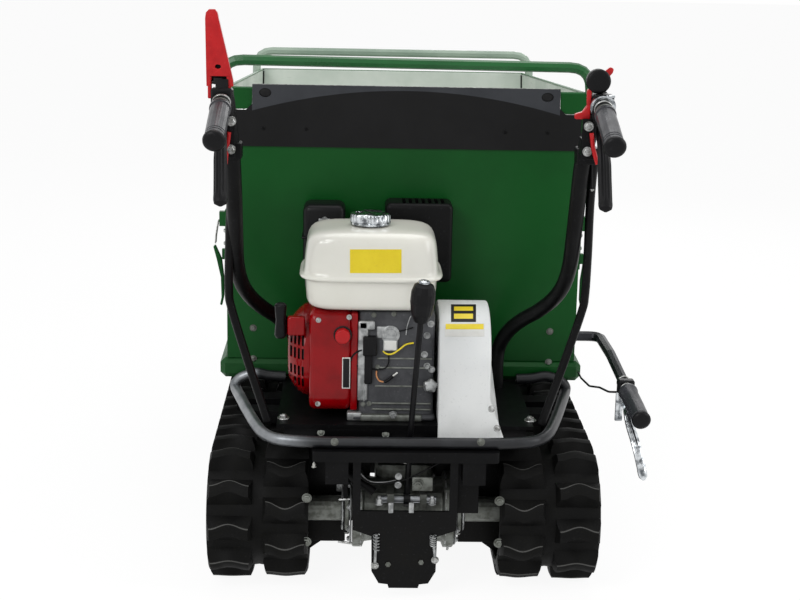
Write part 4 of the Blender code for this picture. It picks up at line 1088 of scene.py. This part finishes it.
for side, label in ((-1, "left"), (1, "right")):
    makeHandle(side, label)
    makeRuns(side, label)
    top, bottom, spots, strip = bracketSizes[label]
    high, low = seen(*top, bracketSizes["depth"]), seen(*bottom, bracketSizes["depth"])
    blockSeen("handleBracket." + label, top, bottom, bracketSizes["depth"], -0.073, -0.069,
        "blackPaint", 0.0012)
    block("bracketWeb." + label, (high.x + 0.002, -0.07, low.z + 0.004),
        (high.x + 0.006, -0.03, low.z + 0.032), "blackPaint", 0.0012)
    boltsSeen("handleBolts." + label, spots, 0.0062, -0.0732, washer=1.3, stud=0.35)
    tube("redStrip." + label, seenAll(strip, -0.0745), 0.0036, "leverRed", 14)
ringed("throttleClamp", barAxis(1, 0.1335), barAxis(1, 0.1395), 0.0165, 0.0042, "chrome")
block("clampLug", seen(609, 98, -0.08), seen(615, 103, -0.08) + Vector((0, 0.008, 0.012)),
    "chrome", 0.001)
wire("pushRod", [seen(592, 164, -0.012), seen(592, 188, 0.004)], 0.0018, "blackPlastic")
bolts("pushRodEnd", [(seen(592, 189, 0.004), (0, 0, -1), 0.0035)], washer=1.1)
standIn(turned("throttle_body.shape", [(0.0, 0.012), (0.0004, 0.0165), (0.0016, 0.0185),
        (0.004, 0.0195), (0.016, 0.0195), (0.0188, 0.0188), (0.0196, 0.0175)],
        at(*handlePlace(1, (0.2962, -0.07, 0.929))), (0, 1, 0), "blackPlastic", 72),
    "throttle_body")
# width and segments of the softened edges
for node, bevel, segments in (("lever_perch_left", 0.0014, 3), ("lever_perch_right", 0.0014, 3),
        ("lock_lever", 0.002, 4), ("throttle_lever", 0.0007, 2),
        ("clutch_lever", 0.0022, 4)):
    dressed(node, bevel, segments)
block("clutchBack", (-0.33, -0.0545, 0.914), (-0.301, -0.0525, 0.962), "labelBlack", 0.0006,
    "clutch_lever")
for label, first, last in (("outer", 207.6, 211.6), ("inner", 226.6, 231.2)):
    blockSeen("clutchCheek." + label, (first, 82), (last, 98.5), -0.064, -0.0655, -0.0545,
        "leverRed", 0.0018, "clutch_lever", 0.012)
blockSeen("clutchPatch", (213.5, 78), (222.5, 84.5), -0.0662, -0.0663, -0.0652, "labelBlack",
    0.0004, "clutch_lever")
print("handles")


coverSizes = {"crank": (0.185, 0.41), "radius": 0.108, "rise": 0.0915, "x": (0.0575, 0.15),
    "skin": [(0.0, 0.004), (0.0012, 0.0012), (0.004, 0.0)], "middleZ": 0.4,
    "flareTop": 0.348, "flare": 0.026, "low": 0.278,
    "apron": [(0.0768, 0.385), (0.0745, 0.35), (0.07, 0.325), (0.064, 0.305), (0.06, 0.29),
        (0.058, 0.278), (0.0605, 0.278), (0.0665, 0.3045)]}


def makeBeltCover():
    # sheet cover: an arch over the pulleys, an apron over the deck edge and a flared foot
    size = coverSizes
    y, z = size["crank"]
    left, right = size["x"]
    outline = [(y + size["radius"], 0.3045)]
    for step in range(41):
        a = math.pi * step / 40
        outline.append((y + size["radius"] * math.cos(a), z + size["rise"] * math.sin(a)))
    outline += size["apron"]
    # columns of the skin from left to right, with how far their edge is drawn in
    columns = [(left + inset, pull) for inset, pull in size["skin"]]
    columns += [(right - inset, pull) for inset, pull in reversed(size["skin"])]
    middle = Vector((y, size["middleZ"]))
    points = []
    for x, pull in columns:
        for spot in outline:
            arm = Vector(spot) - middle
            arm *= 1 - pull / max(0.03, arm.length)
            share = max(0.0, (size["flareTop"] - spot[1]) / (size["flareTop"] - size["low"]))
            shift = share * size["flare"] if x > 0.1 else 0.0
            points.append(at(x + shift, middle.x + arm.x, middle.y + arm.y))
    return standIn(meshPiece("belt_cover.shape", points, ringFaces(len(columns), len(outline)),
            "coverWhite", 28), "belt_cover")


cover = makeBeltCover()
for name, corners, finish, lift in (
        ("Top", (451.0, 304.6, 476.0, 322.0), "labelBlack", 0.0006),
        ("High", (454.0, 307.0, 473.0, 311.0), "labelYellow", 0.0009),
        ("Band", (454.0, 314.0, 473.0, 319.0), "labelYellow", 0.0009),
        ("Low", (444.8, 323.6, 484.4, 336.6), "labelWhite", 0.0006),
        ("Stripe", (445.6, 324.2, 483.6, 329.4), "labelYellow", 0.0009)):
    skinPatch("coverPatch" + name, cover, corners, finish, lift)
boltsSeen("coverBolt", [(497, 428.5), (491.5, 409)], 0.0042, 0.0565, facing=(0, -1, 0.25))

recoilSizes = {"centre": (0.185, 0.41), "start": -0.1715,
    "profile": [(0.0, 0.02), (0.0, 0.0835), (0.006, 0.084), (0.012, 0.0828), (0.015, 0.079),
        (0.019, 0.077), (0.027, 0.069), (0.034, 0.06), (0.038, 0.053), (0.04, 0.046), (0.04, 0.032),
        (0.037, 0.029), (0.037, 0.006)],
    "columns": 4, "column": (-0.207, 0.0072, 0.004),
    "rows": (0.356, 0.38, 0.412, 0.436), "slot": 0.0195}


def makeRecoil():
    # a turned drum with rows of cooling slots on its rear side, dark inside
    size = recoilSizes
    place = at(size["start"], *size["centre"])
    shell = turned("recoil_cover.shape", size["profile"], place, (-1, 0, 0), "engineRed", 96)
    first, step, wide = size["column"]
    cutters = []
    for x in (first + step * column for column in range(size["columns"])):
        for z in size["rows"]:
            cutters.append(softBlock("slotCut", at(x, 0.09, z), at(x + wide, 0.145, z + size["slot"]),
                "engineRed", 0.0006))
    cutOut(shell, cutters)
    standIn(shell, "recoil_cover")
    inner = [(along * 0.94, max(radius - 0.0045, 0.004)) for along, radius in size["profile"][1:]]
    onBody("chassis", turned("recoilDark", [(0.0, 0.004), *inner], place, (-1, 0, 0), "labelBlack",
            64))
    block("recoilLug", (-0.211, 0.102, 0.456), (-0.18, 0.12, 0.49), "engineRed", 0.004)


guardSizes = {"low": (-0.038, 0.274, 0.515), "high": (0.088, 0.345, 0.665), "slots": 7,
    "first": -0.006, "step": 0.012, "wide": 0.0062}


def makeGuard():
    # the muffler's guard with slots along its top
    size = guardSizes
    guard = softBlock("muffler_guard.shape", at(*size["low"]), at(*size["high"]), "blackPaint",
        0.011, 6)
    starts = [size["first"] + index * size["step"] for index in range(size["slots"])]
    cutOut(guard, [softBlock("slotCut", at(x, 0.283, 0.652), at(x + size["wide"], 0.335, 0.68),
            "blackPaint", 0.0012) for x in starts])
    standIn(guard, "muffler_guard")


makeRecoil()
for node, bevel, segments in (("fan_cover", 0.011, 6), ("engine_block", 0.002, 3),
        ("air_cleaner", 0.004, 4), ("engine_switch", 0.0012, 3),
        ("starter_grip", 0.0015, 3)):
    dressed(node, bevel, segments)
makeGuard()
ringed("switchRing", (-0.113, 0.09, 0.462), (-0.113, 0.0932, 0.462), 0.014, 0.0022, "labelBlack")
bolts("fanScrews", [((x, y, z), (0, -1, 0), 0.0032) for x, y, z in
        ((-0.156, 0.0928, 0.488), (-0.156, 0.0928, 0.334), (-0.102, 0.0932, 0.494))],
    stud=0.1)
# low and high corner, finish and bevel of plain pieces on the engine
for row in (
        ("fanLip", (-0.0985, 0.0945, 0.322), (-0.0863, 0.13, 0.5005), "engineRed", 0.003),
        ("fanPlate", (-0.1134, 0.0916, 0.3632), (-0.099, 0.0932, 0.4207), "labelWhite", 0.0005),
        ("fanPlateInner", (-0.1118, 0.0911, 0.3652), (-0.1006, 0.092, 0.4187), "labelBlack", 0.0003),
        ("caseStrip", (-0.086, 0.0935, 0.34), (-0.068, 0.102, 0.486), "alloy", 0.003),
        ("caseShoulder", (-0.086, 0.0935, 0.47), (-0.056, 0.102, 0.487), "alloy", 0.004),
        ("caseModule", (-0.077, 0.087, 0.424), (-0.052, 0.102, 0.46), "blackPlastic", 0.003),
        ("caseModuleFoot", (-0.074, 0.089, 0.372), (-0.06, 0.102, 0.426), "blackPlastic", 0.003),
        ("ratePlateBack", (-0.053, 0.0955, 0.455), (-0.035, 0.101, 0.477), "alloy", 0.002),
        ("ratePlate", (-0.0415, 0.0925, 0.433), (-0.016, 0.0975, 0.4545), "alloy", 0.0015),
        ("ratePlateFace", (-0.0395, 0.0918, 0.4355), (-0.018, 0.093, 0.452), "labelWhite", 0.0005),
        ("footRail", (-0.08, 0.087, 0.3035), (0.03, 0.1, 0.316), "castSteel", 0.003),
        ("fanBracket", (-0.104, 0.09, 0.3035), (-0.078, 0.11, 0.319), "alloy", 0.003),
        ("cleanerLid", (-0.1925, 0.2715, 0.596), (-0.1095, 0.3475, 0.6), "blackPlastic", 0.0015),
        ("wingNutEars", (-0.161, 0.269, 0.6305), (-0.139, 0.2715, 0.6355), "alloy", 0.001)):
    block(*row)
# left end, height and depth of the crankcase's ribs
for number, (left, z, deep) in enumerate(((-0.052, 0.418, 0.003), (-0.05, 0.401, 0.0035),
            (-0.055, 0.3665, 0.0022), (-0.06, 0.335, 0.0045),
            (-0.06, 0.324, 0.005))):
    block("caseRib%d" % number, (left, 0.1005 - deep, z - 0.0016), (0.046, 0.102, z + 0.0016),
        "castSteel", 0.0008)
# thickness, finish and (column, row, depth) spots of the wires
for name, radius, finish, spots in (
        ("yellowWire", 0.0015, "labelYellow",
            ((383, 351, 0.098), (387, 354, 0.094), (393, 353.6, 0.092), (400, 349, 0.092),
            (406, 344.5, 0.093), (413.5, 343, 0.097))),
        ("plugShell", 0.0028, "blackPlastic",
            ((384.5, 382, 0.094), (389, 379.5, 0.093), (393, 376, 0.093))),
        ("plugTip", 0.0016, "labelWhite", ((392.5, 376.3, 0.093), (397.5, 372.5, 0.093)))):
    wire(name, seenAll(spots), radius, finish)
# the same with one depth for all the spots
for name, radius, finish, depth, spots in (
        ("orangeWire", 0.0013, "wireOrange", 0.094,
            ((376.5, 371), (376.6, 376), (379, 380.5), (383.5, 382))),
        ("caseLead", 0.0013, "blackPlastic", 0.096,
            ((388.5, 354), (388.8, 361), (386.5, 367), (380, 369.5), (368, 368.5), (357, 365.5),
            (350, 364))),
        ("switchLead", 0.0016, "blackPlastic", 0.094,
            ((350, 362), (352.5, 356), (357, 352), (362, 350))),
        ("greyLead", 0.0011, "alloy", 0.0925, ((366.5, 381), (365, 386), (363.8, 392), (364, 401))),
        ("throttleLink", 0.0011, "blackPlastic", 0.097, ((398, 331.5), (405, 330), (413.5, 327.5))),
        ("linkSpring", 0.001, "alloy", 0.097, ((406, 335), (407, 327), (409.5, 319), (411, 316))),
        ("controlCable", 0.0013, "blackPlastic", 0.04,
            ((355, 458), (357, 470), (362, 478), (371, 483), (384, 483.5), (396, 481.5), (408, 478.5),
            (424, 471), (444, 460))),
        ("cableSheath", 0.0007, "alloy", 0.038,
            ((356.6, 459), (358.4, 469), (363.4, 476.5), (371.6, 481.6), (385, 482), (396, 480)))):
    wire(name, seenAll(spots, depth), radius, finish)
# spots, size and what differs from the usual of the bolts
for name, spots, size, form in (
        ("caseBolts", [(377.5, 367), (363, 404.2), (369, 403.6), (357, 414.3), (394, 314), (374, 315)],
            0.0036, {"depth": 0.0985, "finish": "castSteel", "washer": 1.3, "stud": 0.2}),
        ("drainPlug", [(393, 415)], 0.0062, {"depth": 0.0895, "washer": 1.25, "finish": "alloy"}),
        ("gearSideBolts", [(427, 335.5), (424.5, 354.5), (431, 324), (431.5, 369.5), (427, 366)],
            0.0048, {"depth": 0.0985, "finish": "alloy", "head": 1.4, "washer": 1.3, "stud": 0.4}),
        ("deckBolts", [(530, 420)], 0.0068, {"height": 0.3036, "facing": (0, 0, 1), "washer": 1.6}),
        ("deckBoltsLeft", [(283.5, 417.6)], 0.0068,
            {"height": 0.3036, "facing": (0, 0, 1), "washer": 1.6}),
        ("bumperBolts", [(334.6, 442), (481, 442)], 0.0056,
            {"depth": 0.0102, "facing": (0, -1, 0.35), "finish": "castSteel", "washer": 1.25}),
        ("beamBoltsSmall", [(321, 432.5), (385.6, 434.5)], 0.0044,
            {"depth": 0.07, "facing": (0, -1, 0.6), "finish": "castSteel"}),
        ("frameBoltsLeft", [(306.8, 498), (306.4, 541.7)], 0.0066,
            {"depth": 0.015, "finish": "castSteel", "washer": 1.35}),
        ("frameBoltsRight", [(499.5, 501), (498.6, 543)], 0.0066,
            {"depth": 0.015, "finish": "castSteel", "washer": 1.35}),
        ("towBolts", [(388, 564), (421, 562)], 0.005, {"depth": 0.0078, "finish": "castSteel"}),
        ("towStuds", [(379, 504), (432, 504)], 0.0058,
            {"depth": 0.0078, "facing": (0, 0, 1), "finish": "alloy", "head": 1.6, "washer": 1.2,
            "stud": 0.8}),
        ("cableNuts", [(398.5, 476.5), (398, 485)], 0.0042, {"depth": 0.034, "finish": "alloy"}),
        ("lockPlateBolt", [(418, 484.5)], 0.0085,
            {"depth": 0.041, "finish": "castSteel", "washer": 1.25}),
        ("rodClips", [(314, 467), (446, 461.5), (336.5, 461), (405.8, 463)], 0.003,
            {"depth": 0.052, "facing": (0, 0, 1), "finish": "labelWhite", "head": 2.2, "stud": 0.8})):
    boltsSeen(name, spots, size, **form)
plate = turned("roundPlate", [(0, 0.0165), (0.0045, 0.0165), (0.0055, 0.015), (0.0055, 0.011),
        (0.004, 0.01), (0.0042, 0.002)],
    at(-0.029, 0.1005, 0.462), (0, -1, 0), "alloy", 48)
filler = turned("oilFiller", [(-0.006, 0.0095), (0.0, 0.01), (0.006, 0.01), (0.0075, 0.0118),
        (0.016, 0.0112), (0.0185, 0.0085), (0.019, 0.003)],
    at(*seen(428.5, 386, 0.1)), (0.25, -1, 0.35), "alloy", 40,
    lambda angle, along: 1 + (0.1 * math.cos(5 * angle) if along > 0.007 else 0))
wing = turned("wingNut", [(0, 0.006), (0.005, 0.0055), (0.0075, 0.0045), (0.0078, 0.001)],
    at(-0.15, 0.2745, 0.633), (0, -1, 0), "alloy", 24)
onBody("chassis", plate, filler, wing)
print("engine")

for label, c in (("left", 391), ("right", 411.5)):
    blockSeen("towPin." + label, (c - 2.6, 502.5), (c + 2.2, 512.5), 0.006, 0.002, 0.0095, "alloy",
        0.0012)

bumperSizes = {"height": 0.2873, "radius": 0.0103, "behind": 0.3388,
    "foot": [(-0.224, 0.338, 0.3105), (-0.255, 0.3386, 0.312)],
    "rise": [(256, 373), (243, 376.5), (236.5, 382)],
    "left": [(236, 388), (241, 398), (249, 413), (257, 426), (264, 433.5), (275, 438.5), (290, 440.6),
        (310, 441.7), (335, 442.4)]}
leftRun = [Vector(p) for p in bumperSizes["foot"]]
leftRun += [seen(c, r, bumperSizes["behind"]) for c, r in bumperSizes["rise"]]
leftRun += [seen(c, r, height=bumperSizes["height"]) for c, r in bumperSizes["left"]]
wholeRun = leftRun + [Vector((0, leftRun[-1].y, leftRun[-1].z))]
wholeRun += [Vector((-p.x, p.y, p.z)) for p in reversed(leftRun)]
standIn(swept("bumper_loop.shape", smoothRoute([at(*p) for p in wholeRun], 8),
        bumperSizes["radius"], "bumperTube", 28), "bumper_loop")

# skirt under the deck edge, bar and side sheets round the axle
block("deckSkirt", (-0.215, 0.0712, 0.2775), (0.215, 0.0745, 0.2985), "blackPaint", 0.0008)
for label, side in (("left", -1), ("right", 1)):
    for name, inner, outer, rear, front, low, high, bevel in (
            ("axleSheet.", 0.06, 0.1975, 0.152, 0.156, 0.112, 0.252, 0.001),
            ("axleBar.", 0.105, 0.1985, 0.15, 0.16, 0.048, 0.106, 0.002)):
        near, far = sorted((side * inner, side * outer))
        block(name + label, (near, rear, low), (far, front, high), "blackPaint", bevel)
    whole = [at(side * x, 0.152, z) for x, z in ((0.199, 0.012), (0.199, 0.075), (0.15, 0.075),
            (0.15, 0.048))]
    both = whole + [p + Vector((0, 0.006, 0)) for p in whole]
    onBody("chassis", meshPiece("axleGusset." + label, both, ringFaces(2, 4), "blackPaint", 20))
low, high = seen(336, 493, 0.14), seen(350, 480, 0.14)
block("axleWeb", (low.x, 0.146, low.z), (high.x, 0.1515, high.z), "alloy", 0.002)
block("sidePlate", (0.0935, 0.048, 0.146), (0.133, 0.053, 0.2585), "blackPaint", 0.0015)
tube("brace", seenAll(((330, 462, 0.06), (374, 492, 0.045))), 0.0075, "blackPaint", 16)
block("lockPlate", seen(411.9, 491, 0.0412), seen(433, 477.5, 0.0412) + Vector((0, 0.004, 0)),
    "castSteel", 0.0012)
springSizes = {"turns": 5, "steps": 14, "radius": 0.0052, "depth": 0.0035}
for label, c, top, mid, lean, foot in (("left", 376.3, 534.5, 550, -1.5, 565.5),
        ("right", 433, 535.5, 546, 2.0, 560)):
    high, middle, low = seenAll(((c, top), (c, mid), (c + lean, foot)), springSizes["depth"])
    coil, last = [], springSizes["turns"] * springSizes["steps"]
    for step in range(last + 1):
        share = step / last
        p, a = high.lerp(middle, share), math.tau * springSizes["turns"] * share
        coil.append((p.x + springSizes["radius"] * math.cos(a),
                p.y + springSizes["radius"] * math.sin(a), p.z))
    tube("spring." + label, coil, 0.0011, "alloy", 8)
    tube("springRod." + label, (high, low), 0.0026, "alloy", 12)
    bolts("springBolt." + label, [(low, (0, -1, 0), 0.0056)], washer=1.25)

# near and far face, radius and finish of the cast rings beside the gearbox
flangeSizes = [(0.074, 0.079, 0.07, "alloy"), (0.08, 0.087, 0.064, "castSteel"),
    (0.093, 0.0965, 0.066, "alloy"), (0.0975, 0.106, 0.048, "castSteel"),
    (0.107, 0.112, 0.04, "alloy")]
axleSizes = {"place": (0.125, 0.125), "bore": 0.024, "bolts": 8, "boltRing": 0.056, "boltX": 0.0965}


def boltCircle(side, x, y, z, count, radius, size, turn=0.0):
    # bolts on a circle that faces the side
    rows = []
    for step in range(count):
        a = math.tau * (step + turn) / count
        rows.append(((x, y + radius * math.cos(a), z + radius * math.sin(a)), (side, 0, 0), size))
    return rows


for side, label in ((-1, "left"), (1, "right")):
    rings = []
    for near, far, radius, finish in flangeSizes:
        deep, bore = far - near, axleSizes["bore"]
        profile = [(0, bore), (0, radius - 0.0015), (0.0015, radius), (deep - 0.0015, radius),
            (deep, radius - 0.0015), (deep, bore)]
        rings.append(turned("ring", profile, at(side * near, *axleSizes["place"]), (side, 0, 0),
                finish, 64))
    onBody("chassis", joined("axleFlange." + label, rings))
    bolts("flangeBolts." + label, boltCircle(side, side * axleSizes["boltX"], *axleSizes["place"],
            axleSizes["bolts"], axleSizes["boltRing"], 0.0052, 0.5),
        "alloy")
    for node, count, radius, size in (("drive_sprocket_", 6, 0.036, 0.006),
            ("front_idler_", 5, 0.03, 0.0055)):
        low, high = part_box(node + label)
        face = (low.x if side < 0 else high.x) - shiftX
        rows = boltCircle(side, face, (low.y + high.y) / 2 - shiftY, (low.z + high.z) / 2, count,
            radius, size)
        bolts(node + "bolts." + label, rows, body=node + label)
for c0, r0, c1, r1 in ((338, 541.5, 356, 544), (339, 499.5, 354, 499.0), (449, 541, 447, 550),
        (447, 491, 450, 497), (450, 497, 457, 500.5)):
    tube("axlePin%d" % c0, seenAll(((c0, r0, 0.09), (c1, r1, 0.085))), 0.0022, "boltSteel", 10)
print("deck")

tipSizes = {"end": (0.404, -0.01, 0.344), "next": (0.39, 0.25, 0.388), "perch": 0.128,
    "gripProfile": [(-0.0062, 0.006), (-0.0058, 0.0115), (-0.0045, 0.0142), (-0.0022, 0.0158),
        (0.001, 0.0162), (0.003, 0.0156), (0.0036, 0.0148), (0.0052, 0.0148), (0.0058, 0.0156),
        (0.05, 0.0158), (0.099, 0.0155), (0.101, 0.0168), (0.1045, 0.0172), (0.1075, 0.0168),
        (0.1085, 0.015), (0.1086, 0.011)],
    "capProfile": [(-0.0072, 0.005), (-0.0066, 0.0112), (-0.005, 0.0146), (-0.0024, 0.0164),
        (0.0006, 0.0166), (0.0012, 0.015)],
    "hubProfile": [(-0.007, 0.0066), (-0.0064, 0.0075), (0.0064, 0.0075), (0.007, 0.0066)]}


def makeTipHandle():
    end, following = Vector(tipSizes["end"]), Vector(tipSizes["next"])
    run = (following - end).normalized()
    standIn(turned("tip_grip.shape", tipSizes["gripProfile"], at(*end), run, "gripRubber", 96,
            ribbed(16, 0.01, 0.008, 0.098)), "tip_grip")
    onBody("skip", turned("tipGripCap", tipSizes["capProfile"], at(*end), run, "blackPlastic", 64))
    for number, along in enumerate((0.1165, 0.144)):
        ringed("tipRing%d" % number, end + run * along, end + run * (along + 0.004),
            0.0104, 0.0022, "boltSteel", "skip")
    spot = end + run * tipSizes["perch"]
    route = [(spot.x, spot.y - 0.003, spot.z - 0.025), (spot.x - 0.001, 0.06, 0.318),
        (0.404, 0.015, 0.285), (0.416, -0.006, 0.232)]
    blade = leverBlade("blade", [at(*p) for p in route], (0.0082, 0.0056), "chrome", 4, 0.14)
    hub = turned("hub", tipSizes["hubProfile"], at(spot.x, spot.y, spot.z - 0.0235), (1, 0, 0),
        "chrome", 32)
    standIn(joined("tip_lever.shape", [blade, hub]), "tip_lever")
    dressed("tip_perch", 0.0018, 4, "blackPlastic")
    blockSeen("tipBracket", (616.2, 393), (622, 421), 0.104, 0.1035, 0.1085, "chrome", 0.0014,
        "skip")


makeTipHandle()

latchSizes = {"x": 0.354, "screwX": 0.3415, "screws": (0.59, 0.5655),
    "loop": [(0.006, 0.3655, 0.5662), (0.005, 0.365, 0.58), (0.001, 0.3655, 0.606),
        (0.0, 0.372, 0.61), (0.001, 0.3785, 0.606), (0.005, 0.379, 0.58), (0.006, 0.3785, 0.5662)]}
for side, label in ((-1, "left"), (1, "right")):
    dressed("side_latch_" + label, 0.0012, 3)
    dressed("latch_strap_" + label, 0.0008, 3)
    loop = [(side * latchSizes["x"] + side * x, y, z) for x, y, z in latchSizes["loop"]]
    wire("latchWire." + label, loop, 0.0013, "boltSteel", "skip")
    bolts("latchScrews." + label,
        [((side * latchSizes["screwX"], 0.372, z), (side, 0, 0), 0.0036)
            for z in latchSizes["screws"]], washer=1.4, stud=0.1, body="skip")

skipSizes = {"half": 0.338, "rear": 0.358, "lip": 1.48, "topRear": 0.865, "topFront": 0.795,
    "floorEnd": 1.33, "floor": 0.3423}


def makeSkipEdges():
    # rolled rim, then seams down the corners inside and outside the front
    size = skipSizes
    half, rear, lip = size["half"] - 0.0015, size["rear"] + 0.0015, size["lip"] - 0.0015
    high, low = size["topRear"] - 0.0008, size["topFront"] - 0.0008
    rim = [(0, rear, high), (half - 0.004, rear, high), (half, rear + 0.004, high - 0.0002),
        (half, lip - 0.004, low + 0.0002), (half - 0.004, lip, low), (0, lip, low)]
    rim += [(-x, y, z) for x, y, z in reversed(rim[1:-1])]
    tube("skipRim", [*rim, rim[0]], 0.0026, "tubeGreen", 12, "skip")
    seams = []
    for side in (-1, 1):
        # place across, then (along, height) at the top and foot, thickness, finish
        for x, top, foot, radius, finish in (
                (size["half"] - 0.0045, (size["lip"] - 0.0072, low - 0.004),
                    (size["floorEnd"] - 0.003, size["floor"] + 0.008), 0.0022, "blackPaint"),
                (size["half"] - 0.0045, (size["rear"] + 0.0045, high - 0.01),
                    (size["rear"] + 0.0045, size["floor"] + 0.008), 0.002, "hazeGreen"),
                (size["half"] + 0.0004, (size["lip"] - 0.002, low - 0.004),
                    (size["floorEnd"] + 0.001, size["floor"] + 0.004), 0.0016, "greenPaint")):
            seams.append(swept("seam", [at(side * x, *top), at(side * x, *foot)], radius, finish, 10))
    onBody("skip", joined("skipSeams", seams))
    bolts("wallBolts", [((side * 0.288, 0.357, z), (0, -1, 0), 0.0052)
            for side in (-1, 1) for z in (0.402, 0.34)],
        washer=1.35, finish="castSteel", body="skip")


makeSkipEdges()
bolts("knobTop", [((0.0243, 0.0068, 0.579), (0.0125, -0.0315, 0.218), 0.009)], "chrome",
    head=0.2, washer=1.2, stud=0.1, body="gear_lever")
print("tip handle, latches and skip edges")

low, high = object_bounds()
